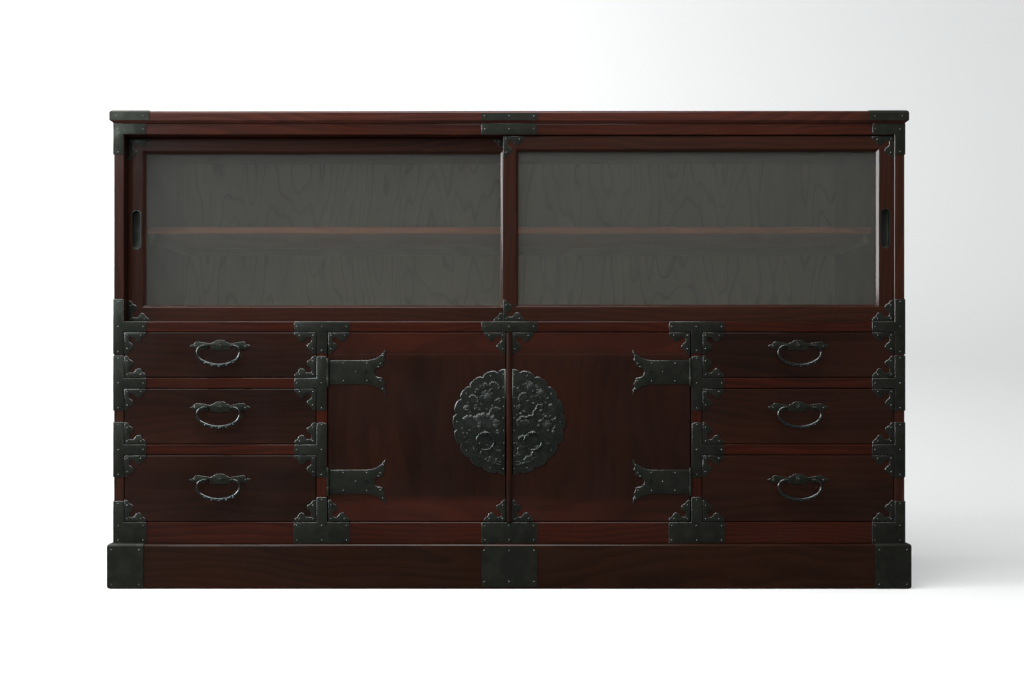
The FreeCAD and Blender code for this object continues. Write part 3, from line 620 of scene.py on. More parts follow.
@dataclass(frozen=True)
class Pale:
    """A matt pale floor and wall. Seen directly it is a little brighter, and in reflections it
    is darker, as a room in front of the sideboard would be. From behind it is clear, so that it
    hides nothing when the sideboard is looked at from there."""

    name: str
    colour: Colour
    lift: float = 0.22
    mirrored_share: float = 0.05
    lit_share: float = 0.4
    roughness: float = 0.85
    specular: float = 0.1

    def material(self) -> Material:
        """Builds the material.

        Returns:
            The finished material.
        """
        made, s, matt = new_material(self.name)
        path = s.add("LightPath").outputs
        dull = tuple(value * self.lit_share for value in self.colour)
        dim = tuple(value * self.mirrored_share for value in self.colour)
        colour = s.mix(path["Is Camera Ray"], dull, self.colour)
        colour = s.mix(path["Is Glossy Ray"], colour, dim)
        s.feed(matt, Base_Color=colour, Roughness=self.roughness,
               Specular_IOR_Level=self.specular, Emission_Color=(1.0, 1.0, 1.0),
               Emission_Strength=s.math("MULTIPLY", path["Is Camera Ray"], self.lift))
        sided = s.add("MixShader")
        behind = s.add("NewGeometry").outputs["Backfacing"]
        clear = s.add("BsdfTransparent").outputs[0]
        for socket, value in zip(sided.inputs, (behind, matt.outputs[0], clear)):
            s.give(socket, value)
        s.feed(s.tree.nodes["Material Output"], Surface=sided.outputs[0])
        return made


# Meshes

UPRIGHT = Matrix.Rotation(math.pi / 2, 4, "X")
FLAT = math.radians(5)
TURN_STEPS = 4
NAIL_DOME = 0.75
NAIL_SECTORS = 10
NAIL_RINGS = 6


@dataclass(frozen=True)
class Turn:
    """A corner of a plate's outline, and how much of it is rounded."""

    along: float
    across: float
    round: float = 0.0


def turns(*corners: tuple[float, ...]) -> tuple[Turn, ...]:
    """The corners of an outline."""
    return tuple(Turn(*corner) for corner in corners)


def grown_corners(result: dict[str, list]) -> list[Corner]:
    """The corners that an extrusion has made."""
    return [item for item in result["geom"] if isinstance(item, Corner)]


def grown_border(result: dict[str, list]) -> list[Edge]:
    """The edges that an extrusion has made between its new corners."""
    corners = set(grown_corners(result))
    return [item for item in result["geom"] if isinstance(item, Edge)
            and all(vertex in corners for vertex in item.verts)]


def ease(part: Mesh, edges: Sequence[Edge], width: float, steps: int = 3) -> list[Face]:
    """Rounds edges of a part over a width on either side, and gives the new faces."""
    eased = bmesh.ops.bevel(part, geom=edges, offset=width, offset_type="OFFSET", affect="EDGES",
                            segments=steps, profile=0.5, material=-1, clamp_overlap=True)
    return eased["faces"]


def move(part: Mesh, corners: Iterable[Corner], x: float = 0.0, y: float = 0.0,
         z: float = 0.0) -> None:
    """Moves corners of a part."""
    bmesh.ops.translate(part, verts=list(corners), vec=(x, y, z))


def set_skin(faces: Iterable[Face], skin: Skin) -> None:
    """Gives faces of an ironwork piece one of its finishes."""
    for face in faces:
        face.material_index = skin.value


def mirrored(place: Sequence[float], to_x: float = 1.0, to_z: float = 1.0) -> Matrix:
    """Takes a part's origin to a place. A negative factor along X or Z turns it over."""
    return Matrix.Translation(place) @ Matrix.Diagonal((to_x, 1.0, to_z, 1.0))


def rounded_face(part: Mesh, outline: Sequence[Turn]) -> None:
    """Draws a flat face in the plane y = 0, with its corners rounded.

    Args:
        part: The mesh that takes the face.
        outline: Its corners in order, with X along and Z across.
    """
    corners = [part.verts.new((turn.along, 0.0, turn.across)) for turn in outline]
    part.faces.new(corners)
    for vertex, turn in zip(corners, outline):
        if turn.round > 0:
            bmesh.ops.bevel(part, geom=[vertex], offset=turn.round, offset_type="OFFSET",
                            affect="VERTICES", segments=TURN_STEPS, profile=0.5, material=-1,
                            clamp_overlap=True)


def raise_face(part: Mesh, thickness: float) -> list[Edge]:
    """Raises a flat face towards -Y.

    Args:
        part: The mesh, which has only that face.
        thickness: How far it is raised.

    Returns:
        The edges of the raised face.
    """
    lifted = grown_corners(bmesh.ops.extrude_face_region(part, geom=list(part.faces)))
    move(part, lifted, y=-thickness)
    return [e for e in part.edges if all(v.co.y < -thickness / 2 for v in e.verts)]


def is_flat(edge: Edge) -> bool:
    """Whether the faces beside an edge lie in one plane."""
    return len(edge.link_faces) == 2 and edge.calc_face_angle(0.0) < FLAT


def flat_plate(outline: Sequence[Turn], thickness: float = IRON, edge: float = 0.9,
               mark: Sequence[Turn] = ()) -> Mesh:
    """Makes a plate whose back lies in the plane y = 0 and which stands out towards -Y.

    Args:
        outline: Its corners in order, with X along and Z across.
        thickness: How far it stands out.
        edge: How much its front edge is eased. The eased edge is worn bright.
        mark: The corners of a mark that is sunk in its face.

    Returns:
        The plate.
    """
    part = bmesh.new()
    rounded_face(part, outline)
    front = raise_face(part, thickness)
    bmesh.ops.recalc_face_normals(part, faces=part.faces)
    set_skin(ease(part, [e for e in front if not is_flat(e)], edge), Skin.WORN)
    if mark:
        sink(part, mark, thickness)
    return part


def sink(part: Mesh, mark: Sequence[Turn], thickness: float, share: float = 0.8) -> None:
    """Sinks a mark in the front face of a plate.

    Args:
        part: The plate.
        mark: The mark's corners in order, with X along and Z across.
        thickness: How far the plate stands out.
        share: How much of the thickness is sunk.
    """
    front = next(face for face in part.faces if all(v.co.y < 0.001 - thickness for v in face.verts))
    border = list(front.edges)
    bmesh.ops.delete(part, geom=[front], context="FACES_ONLY")
    known = set(part.faces)
    rounded_face(part, mark)
    patch = [face for face in part.faces if face not in known]
    move(part, {vertex for face in patch for vertex in face.verts}, y=-thickness)
    border += [side for face in patch for side in face.edges]
    lowered = grown_corners(bmesh.ops.extrude_face_region(part, geom=patch))
    bmesh.ops.delete(part, geom=[face for face in patch if face.is_valid], context="FACES_ONLY")
    move(part, lowered, y=thickness * share)
    bmesh.ops.triangle_fill(part, edges=border, use_beauty=True)


def nail_head(radius: float, height: float) -> Mesh:
    """Makes a domed nail head on the plane y = 0, standing out towards -Y.

    Args:
        radius: Its radius.
        height: How far it stands out.

    Returns:
        The head.
    """
    part = bmesh.new()
    bmesh.ops.create_uvsphere(part, u_segments=NAIL_SECTORS, v_segments=NAIL_RINGS,
                              radius=radius)
    upright = Matrix.Rotation(math.pi / 2, 3, "X")
    bmesh.ops.rotate(part, verts=part.verts, cent=(0, 0, 0), matrix=upright)
    bmesh.ops.scale(part, verts=part.verts, vec=(1.0, height / radius, 1.0))
    return part


def wire_ring(start: Sequence[float], axis: Sequence[float], wire: float, corners: int,
              steps: int) -> Mesh:
    """Bends a round wire into a closed ring round the origin.

    Args:
        start: The middle of the wire at one place of the ring.
        axis: The ring's axis.
        wire: The wire's radius.
        corners: How many corners its section has.
        steps: How many steps the ring takes.

    Returns:
        The ring.
    """
    part = bmesh.new()
    bmesh.ops.create_circle(part, segments=corners, radius=wire, matrix=Matrix.Translation(start))
    bmesh.ops.spin(part, geom=list(part.verts) + list(part.edges), cent=(0, 0, 0), axis=axis,
                   angle=2 * math.pi, steps=steps, use_merge=True)
    return part


@dataclass(frozen=True)
class Station:
    """One place on the line of a forged bar.

    The bar's section there is an ellipse. A dent is a share of the section's radius. It is
    pressed into the bar's front and back, a little towards its outer edge.
    """

    point: Vector
    ahead: Vector
    wide: float
    thick: float
    dent: float = 0.0

    @property
    def outwards(self) -> Vector:
        """The direction from the line to the bar's outer edge."""
        return self.ahead.cross(Vector((0.0, 1.0, 0.0))).normalized()

    def matrix(self) -> Matrix:
        """Places the section.

        Returns:
            What takes the unit circle in the XY plane to it.
        """
        side = Vector((0.0, 1.0, 0.0))
        turned = Matrix((-self.outwards, side, self.ahead.normalized())).transposed().to_4x4()
        size = Matrix.Diagonal((self.wide, self.thick, 1.0, 1.0))
        return Matrix.Translation(self.point) @ turned @ size

    def press(self, vertices: Iterable[Corner], middle: float = 0.1, reach: float = 0.65) -> None:
        """Presses the dent into the section's corners.

        Args:
            vertices: The corners.
            middle: The angle of the dent's middle, from the front or back towards the outer edge.
            reach: The angle from its middle to its end.
        """
        for vertex in vertices:
            away = vertex.co - self.point
            angle = math.atan2(away.dot(self.outwards), abs(away.y))
            share = min(1.0, abs(angle - middle) / reach)
            vertex.co -= away * self.dent * math.cos(share * math.pi / 2) ** 2


def forged_bar(stations: Sequence[Station], corners: int = 20) -> Mesh:
    """Draws a section out along a line, station by station, and closes both ends.

    Args:
        stations: The places on the line.
        corners: How many corners the section has.

    Returns:
        The bar.
    """
    part = bmesh.new()
    before = stations[0].matrix()
    start = bmesh.ops.create_circle(part, cap_ends=True, segments=corners, radius=1.0,
                                    matrix=before)
    ring = list(part.edges)
    sections = [start["verts"]]
    for station in stations[1:]:
        here = station.matrix()
        grown = bmesh.ops.extrude_edge_only(part, edges=ring)
        sections.append(grown_corners(grown))
        bmesh.ops.transform(part, matrix=here @ before.inverted(), verts=sections[-1])
        ring = grown_border(grown)
        before = here
    bmesh.ops.edgeloop_fill(part, edges=ring)
    for station, section in zip(stations, sections):
        station.press(section)
    return part


def arc(centre: Point, radius: float, start: float, end: float, steps: int) -> list[Point]:
    """The points of an arc between two angles, one for each step after the start."""
    angles = [start + (end - start) * step / steps for step in range(1, steps + 1)]
    return [(centre[0] + radius * math.cos(a), centre[1] + radius * math.sin(a)) for a in angles]


class Bench:
    """Gathers the meshes of one piece, in millimetres of the frame, and finishes it."""

    def __init__(self, name: str) -> None:
        """Starts an empty piece."""
        self.name = name
        self.mesh = bmesh.new()

    def take(self, part: Mesh, place: Matrix) -> None:
        """Adds a part, turned right side out.

        Args:
            part: The part, which is used up.
            place: Where it goes.
        """
        bmesh.ops.transform(part, matrix=place, verts=part.verts)
        bmesh.ops.recalc_face_normals(part, faces=part.faces)
        carrier = bpy.data.meshes.new("carrier")
        part.to_mesh(carrier)
        part.free()
        self.mesh.from_mesh(carrier)
        bpy.data.meshes.remove(carrier)

    def nail(self, x: float, y: float, z: float, radius: float = 1.5, turn: float = 0.0) -> None:
        """Drives a nail into a plate.

        Args:
            x: Where it goes.
            y: The plate's face.
            z: Where it goes.
            radius: The radius of its head.
            turn: How far it is turned about Z from pointing out of the front.
        """
        head = nail_head(radius, radius * NAIL_DOME)
        set_skin(head.faces, Skin.NAIL)
        self.take(head, Matrix.Translation((x, y, z)) @ Matrix.Rotation(turn, 4, "Z"))

    def finish(self, materials: Sequence[Material], body: str, *nodes: str,
               crease: float = 35.0) -> None:
        """Makes the piece an object that rides on a body.

        Args:
            materials: Its finishes.
            body: The body that carries it.
            *nodes: The nodes of the frame that it stands for.
            crease: The angle, in degrees, above which an edge stays sharp.
        """
        bmesh.ops.scale(self.mesh, verts=self.mesh.verts, vec=(MM, MM, MM))
        for face in self.mesh.faces:
            face.smooth = True
        mesh = bpy.data.meshes.new(self.name)
        self.mesh.to_mesh(mesh)
        self.mesh.free()
        mesh.set_sharp_from_angle(angle=math.radians(crease))
        for material in materials:
            mesh.materials.append(material)
        piece = bpy.data.objects.new(self.name, mesh)
        bpy.context.scene.collection.objects.link(piece)
        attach(piece, body)
        if nodes:
            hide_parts(*nodes)
        log.info("%s: %d faces on %s", self.name, len(mesh.polygons), body)


def dress(node: str, material: Material, edge: float = 0.0) -> None:
    """Gives a node of the frame its finish, and rounds its edges a little.

    Args:
        node: The node.
        material: Its finish.
        edge: How much its edges are rounded, in millimetres. 0 leaves them.
    """
    piece = frame["nodes"][node]
    piece.data.materials.clear()
    piece.data.materials.append(material)
    if edge > 0:
        weld = piece.modifiers.new("weld", "WELD")
        weld.merge_threshold = WELD * MM
        rounding = piece.modifiers.new("ease", "BEVEL")
        rounding.width = edge * MM
        rounding.segments = 2
        rounding.limit_method = "ANGLE"
        rounding.angle_limit = math.radians(SHARP)
        rounding.harden_normals = False
        rounding.use_clamp_overlap = True
    log.info("%s dressed in %s", node, material.name)


# Fittings


@dataclass(frozen=True)
class CornerPlate:
    """A lobed iron plate for a corner, with a nail in the corner and one near each end."""

    thickness: float = IRON
    nails: tuple[Point, ...] = ((5.6, 5.6), (33.4, 5.6), (5.6, 33.4))
    arm: tuple[Turn, ...] = turns((44.4, 0.0), (43.4, 6.6, 3.2), (37.0, 9.8), (33.0, 18.6, 4.2),
                                  (24.4, 17.8, 4.2), (19.0, 8.8, 2.8))
    heart: float = 9.2
    overlap: float = 0.9

    @property
    def outline(self) -> list[Turn]:
        """The whole outline, the same on both arms."""
        other = [Turn(turn.across, turn.along, turn.round) for turn in reversed(self.arm)]
        return [Turn(0.0, 0.0), *self.arm, Turn(self.heart, self.heart), *other]

    def fix(self, bench: Bench, low: Vector, high: Vector, y: float) -> None:
        """Nails a plate to each corner of a door or drawer front, over its eased edge.

        Args:
            bench: The piece that they become part of.
            low: The front's lowest corner.
            high: Its highest corner.
            y: The face that they lie on.
        """
        for x, to_x in ((low.x - self.overlap, 1), (high.x + self.overlap, -1)):
            for z, to_z in ((low.z - self.overlap, 1), (high.z + self.overlap, -1)):
                plate = flat_plate(self.outline, self.thickness)
                bench.take(plate, mirrored((x, y, z), to_x, to_z))
                for along, across in self.nails:
                    bench.nail(x + to_x * along, y - self.thickness, z + to_z * across)


@dataclass(frozen=True)
class Eye:
    """A wire eye for a handle or ring, with its shank and a washer on the plate."""

    loop: float = 2.95
    loop_steps: int = 20
    wire: float = 1.05
    wire_corners: int = 8
    stretch: float = 1.5
    shank: float = 1.7
    shank_start: float = 3.2
    shank_depth: float = 0.2
    washer: float = 3.1
    washer_height: float = 1.2
    washer_depth: float = 0.1
    taper: float = 0.8
    cone_corners: int = 14

    def fix(self, bench: Bench, x: float, y: float, z: float, plate_y: float) -> None:
        """Sets the eye in a plate.

        Args:
            bench: The piece that it becomes part of.
            x: The middle of the eye.
            y: The axis.
            z: The axis.
            plate_y: The plate's face.
        """
        loop = wire_ring((0.0, self.loop, 0.0), (1, 0, 0), self.wire, self.wire_corners,
                         self.loop_steps)
        bench.take(loop, mirrored((x, y, z), self.stretch))
        for wide, near, far in (
            (self.shank, y + self.shank_start, plate_y + self.shank_depth),
            (self.washer, plate_y - self.washer_height, plate_y + self.washer_depth),
        ):
            cone = bmesh.new()
            bmesh.ops.create_cone(cone, cap_ends=True, segments=self.cone_corners,
                                  radius1=wide, radius2=wide * self.taper, depth=far - near)
            bench.take(cone, Matrix.Translation((x, (near + far) / 2, z)) @ UPRIGHT)


@dataclass(frozen=True)
class Handle:
    """A drop handle: its bar, and its wing-shaped plate with a small blossom in the middle.

    The bar's ends turn in to the eyes. Dents follow each other along the grip at a pitch.
    """

    eye: Eye = Eye()
    eye_offset: float = 28.0
    thickness: float = 1.5
    rim: float = 1.3
    below: float = 10.9
    half_width: float = 43.9
    drop: float = 40.5
    shoulder: float = 13.5
    side: float = 20.0
    end_reach: float = 24.5
    pin_radius: float = 1.85
    arm_radius: float = 2.35
    grip_radius: float = 3.9
    swell_power: float = 0.6
    flattening: float = 0.15
    pin_steps: Triple = (0.0, 2.0, 4.0)
    bend_steps: int = 8
    grip_steps: int = 22
    dent_pitch: float = 15.4
    dents: int = 5
    dent_depth: float = 0.6
    petals: int = 6
    petal_radius: float = 1.9
    petal_height: float = 1.1
    blossom_rise: float = 2.6
    blossom_spread: float = 4.0
    small_nail: float = 1.3
    boss_lift: float = 0.3
    wing_nail: Point = (52.0, -0.5)
    wing: tuple[Turn, ...] = turns((5.0, 2.2, 1.5), (21.0, 2.2, 3.0), (20.8, 10.6, 1.8),
                                   (24.6, 11.4, 1.6), (26.4, 4.4, 2.0), (44.0, 3.3, 5.0),
                                   (54.0, 5.6, 2.0), (63.5, 10.4, 1.6), (58.5, 13.6, 2.0),
                                   (54.6, 13.2), (52.8, 16.8, 1.6), (49.4, 20.0, 2.6),
                                   (32.0, 17.6, 4.0), (19.6, 15.2), (17.4, 18.0, 1.6),
                                   (12.8, 18.2), (10.4, 21.8, 2.0), (4.0, 23.0, 2.5))

    def plate(self) -> Mesh:
        """Makes the wing-shaped plate.

        Returns:
            The plate, with the handle's axis at x = 0 and z = 0.
        """
        left = [Turn(-turn.along, turn.across, turn.round) for turn in reversed(self.wing)]
        outline = [Turn(0.0, 0.6), *self.wing, *left]
        raised = [Turn(turn.along, turn.across - self.below, turn.round) for turn in outline]
        return flat_plate(raised, self.thickness, self.rim)

    def fix(self, bench: Bench, axis: Vector, y: float) -> None:
        """Fixes the plate, the eyes and the blossom to a drawer's front.

        Args:
            bench: The piece that they become part of.
            axis: The middle of the handle's axis.
            y: The face that the plate lies on.
        """
        face = y - self.thickness
        bench.take(self.plate(), Matrix.Translation((axis.x, y, axis.z)))
        along, above = self.wing_nail
        for sign in (-1, 1):
            self.eye.fix(bench, axis.x + sign * self.eye_offset, axis.y, axis.z, face)
            bench.nail(axis.x + sign * along, face, axis.z + above, self.small_nail)
        middle = axis.z + self.blossom_rise
        for petal in range(self.petals):
            angle = 2 * math.pi * petal / self.petals
            place = (axis.x + self.blossom_spread * math.sin(angle), face,
                     middle + self.blossom_spread * math.cos(angle))
            bench.take(nail_head(self.petal_radius, self.petal_height), Matrix.Translation(place))
        bench.nail(axis.x, face - self.boss_lift, middle, self.small_nail)

    def line(self) -> list[Point]:
        """Works out half of the bar's line.

        Returns:
            Its points, from the end in the eye to the middle of the grip.
        """
        corner = (self.half_width - self.shoulder, -self.shoulder)
        depth = self.drop - self.shoulder
        reach = self.half_width - self.side
        bottom = (reach**2 + depth**2 - self.side**2) / (2 * (depth - self.side))
        meet = math.atan2(bottom - depth, reach)
        line = [(self.end_reach + step, 0.0) for step in self.pin_steps]
        line.append((corner[0], 0.0))
        line += arc(corner, self.shoulder, math.pi / 2, 0.0, self.bend_steps)
        line += arc((reach, -self.shoulder), self.side, 0.0, -meet, self.bend_steps)
        line += arc((0.0, bottom - self.drop), bottom, -meet, -math.pi / 2, self.grip_steps)
        return line

    def station(self, point: Vector, ahead: Vector, steps: float) -> Station:
        """One place on the bar.

        Args:
            point: The place.
            ahead: The way the bar runs there.
            steps: How many pitches of the dents it is from the middle of the grip.

        Returns:
            The station.
        """
        low = max(0.0, (-point.z - self.shoulder) / (self.drop - self.shoulder))
        radius = self.arm_radius + (self.grip_radius - self.arm_radius) * low**self.swell_power
        if abs(point.z) < 0.01 and abs(point.x) < self.half_width - self.shoulder - 0.1:
            radius = self.pin_radius
        dented = abs(steps) < self.dents / 2
        dent = self.dent_depth * max(0.0, math.cos(2 * math.pi * steps)) if dented else 0.0
        return Station(point, ahead, radius, radius * (1.0 - self.flattening * low), dent)

    def bar(self) -> Mesh:
        """Makes the bar.

        Returns:
            The bar, round at its ends and dented along the grip.
        """
        half = self.line()
        points = [Vector((u, 0.0, w)) for u, w in half]
        points += [Vector((-u, 0.0, w)) for u, w in reversed(half[:-1])]
        length = sum((after - before).length for before, after in zip(points, points[1:]))
        stations = []
        walked = 0.0
        for before, point, after in zip([points[0], *points], points, [*points[1:], points[-1]]):
            walked += (point - before).length
            steps = (walked - length / 2) / self.dent_pitch
            stations.append(self.station(point, after - before, steps))
        return forged_bar(stations)


@dataclass(frozen=True)
class Strap:
    """The moving half of a strap hinge, with a swallow-tail end and a sunk mark."""

    half_height: float = 24.5
    overrun: float = 4.5
    thickness: float = 1.5
    rim: float = 1.1
    knuckle: float = 2.8
    knuckle_corners: int = 24
    knuckle_gap: float = 0.4
    notch_gap: float = 0.6
    barrel_edge: float = 0.4
    from_edge: float = 57.5
    outline: tuple[Turn, ...] = turns((0.0, 24.5), (80.0, 24.6, 3.0), (91.2, 26.2, 4.0),
                                      (99.6, 29.2, 4.0), (108.0, 34.8, 4.0), (113.5, 40.2, 3.0),
                                      (118.9, 47.4), (118.6, 37.0, 3.0), (115.0, 30.6),
                                      (118.0, 23.6, 3.0), (113.0, 18.4), (113.0, 12.4, 2.6),
                                      (107.0, 10.4), (98.6, 9.2, 3.4), (94.4, 0.0, 3.4))
    nails: tuple[Point, ...] = (
        (31.5, 18.6), (80.0, 18.6), (57.0, 0.8), (31.5, -18.0), (80.0, -18.0), (113.4, 34.4),
        (108.2, 18.2), (103.8, 11.4), (104.2, -12.4), (108.0, -17.6), (113.0, -34.0),
    )
    mark: Point = (80.5, -1.8)
    mark_half: float = 5.4

    def plate(self, cut: float) -> Mesh:
        """Makes the strap, notched for the middle knuckle.

        Args:
            cut: Half of the notch's height.

        Returns:
            The strap.
        """
        lower = [Turn(turn.along, -turn.across, turn.round) for turn in reversed(self.outline[:-1])]
        notch = self.knuckle + self.notch_gap
        start = [Turn(0.0, -cut), Turn(notch, -cut), Turn(notch, cut), Turn(0.0, cut)]
        along, across = self.mark
        mark = [Turn(along - self.mark_half, across), Turn(along, across - self.mark_half),
                Turn(along + self.mark_half, across), Turn(along, across + self.mark_half)]
        return flat_plate([*self.outline, *lower, *start], self.thickness, self.rim, mark)

    def knuckle_part(self, length: float) -> Mesh:
        """Makes one knuckle, round the Z axis.

        Args:
            length: Its length.

        Returns:
            The knuckle.
        """
        part = bmesh.new()
        bmesh.ops.create_cone(part, cap_ends=True, segments=self.knuckle_corners,
                              radius1=self.knuckle, radius2=self.knuckle, depth=length)
        level = [e for e in part.edges if abs(e.verts[0].co.z - e.verts[1].co.z) < 0.01]
        ease(part, level, self.barrel_edge, 2)
        return part

    def fix(self, bench: Bench, axis: Vector, z: float, inwards: int, y: float) -> None:
        """Nails the strap to its door.

        Args:
            bench: The piece that it becomes part of.
            axis: The hinge's axis.
            z: The middle of the strap.
            inwards: 1 or -1, the way from the hinge to the middle of the cupboard.
            y: The face that it lies on.
        """
        barrel = self.half_height + self.overrun
        third = barrel / 3
        plate = self.plate(third + self.knuckle_gap)
        bench.take(plate, mirrored((axis.x, y, z), inwards))
        for along, across in self.nails:
            bench.nail(axis.x + inwards * along, y - self.thickness, z + across)
        inner = third + self.knuckle_gap / 2
        for low, high in ((-barrel, -inner), (inner, barrel)):
            place = Matrix.Translation((axis.x, axis.y, z + (low + high) / 2))
            bench.take(self.knuckle_part(high - low), place)


def dome(distance: Field, radius: Field | float, power: float) -> Field:
    """A swelling that is 1 in its middle and 0 from its radius on."""
    return np.clip(1 - (distance / radius) ** 2, 0, 1) ** power


def swellings(u: Field, w: Field, places: Sequence[Triple], height: float) -> Field:
    """Round swellings that run into each other.

    Args:
        u: Distances along the motif.
        w: Distances across it.
        places: Each swelling's u, w and radius.
        height: How far they stand out.

    Returns:
        The heights.
    """
    total = np.zeros_like(u)
    for middle_u, middle_w, radius in places:
        gap = np.hypot(u - middle_u, w - middle_w)
        total = np.maximum(total, height * dome(gap, radius, 0.4))
    return total


def shares(count: int) -> list[float]:
    """Even steps from 0 to 1."""
    return [step / (count - 1) for step in range(count)]


class Motif(Enum):
    """What the relief is made of. The value is the name of the Stamp method that shapes it."""

    BLOSSOM = "blossom"
    LEAF = "leaf"
    ARCH = "arch"
    CURL = "curl"
    BOUGH = "bough"


@dataclass(frozen=True)
class Stamp:
    """One motif of the relief, in millimetres from the middle of the lock plate."""

    motif: Motif
    across: float
    up: float
    size: float
    turn: float = 0.0
    height: float = 1.8

    def blossom(self, u: Field, w: Field) -> Field:
        """Shapes two whorls of petals round a boss.

        Args:
            u: Distances along the motif.
            w: Distances across it.

        Returns:
            The heights.
        """
        distance = np.hypot(u, w)
        angle = np.arctan2(w, u)
        total = np.zeros_like(u)
        for share, petals, lift in ((1.0, 9, 0.62), (0.6, 7, 1.0)):
            wave = np.abs(np.cos(petals / 2 * angle + share))
            inside = dome(distance, self.size / 2 * share * (0.78 + 0.22 * wave), 0.35)
            crease = 0.6 + 0.4 * wave**0.5
            total = np.maximum(total, self.height * lift * inside * crease)
        return np.maximum(total, dome(distance, self.size * 0.12, 0.5) * self.height * 1.1)

    def leaf(self, u: Field, w: Field) -> Field:
        """Shapes a pointed leaf with a sunk midrib.

        Args:
            u: Distances along the motif.
            w: Distances across it.

        Returns:
            The heights.
        """
        along = u / (self.size / 2)
        half = self.size * 0.26 * dome(along, 1.0, 0.8) + 1e-6
        blade = dome(w, half, 0.5) * (np.abs(along) < 1)
        return self.height * blade * (1 - 0.45 * np.exp(-((w / 0.6) ** 2)))

    def arch(self, u: Field, w: Field) -> Field:
        """Shapes a cloud: an arched rim of swellings over a lower body.

        Args:
            u: Distances along the motif.
            w: Distances across it.

        Returns:
            The heights.
        """
        reach = self.size / 2
        rim = [(-reach * math.cos(a), reach * 0.72 * math.sin(a), reach * 0.27)
               for a in (0.1, 0.6, 1.1, 1.6, 2.1, 2.6, 3.05)]
        body = [(-reach * 0.4, 0.0, reach * 0.5), (reach * 0.3, 0.0, reach * 0.55)]
        return np.maximum(swellings(u, w, rim, self.height),
                          swellings(u, w, body, self.height * 0.5))

    def curl(self, u: Field, w: Field) -> Field:
        """Shapes a curl that winds in on itself and trails off.

        Args:
            u: Distances along the motif.
            w: Distances across it.

        Returns:
            The heights.
        """
        path = []
        for share in shares(26):
            angle = share * 1.9 * math.pi
            radius = self.size / 2 * (1 - share * 0.8)
            path.append((radius * math.cos(angle), radius * math.sin(angle) * 0.82,
                         self.size * 0.16))
        return swellings(u, w, path, self.height)

    def bough(self, u: Field, w: Field) -> Field:
        """Shapes a knotty bough that thins towards one end.

        Args:
            u: Distances along the motif.
            w: Distances across it.

        Returns:
            The heights.
        """
        path = []
        for share in shares(int(self.size)):
            sway = self.size * (0.07 * math.sin(share * 9.0) + 0.02 * math.sin(share * 31.0))
            path.append(((share - 0.5) * self.size, sway, 2.9 - 1.5 * share))
        return swellings(u, w, path, self.height)

    def heights(self, across: Field, up: Field) -> Field:
        """How far the motif makes each point of the plate stand out.

        Args:
            across: Distances from the plate's straight edge.
            up: Heights above its middle.

        Returns:
            The heights.
        """
        u, w = across - self.across, up - self.up
        cos, sin = math.cos(self.turn), math.sin(self.turn)
        return getattr(self, self.motif.value)(u * cos + w * sin, w * cos - u * sin)


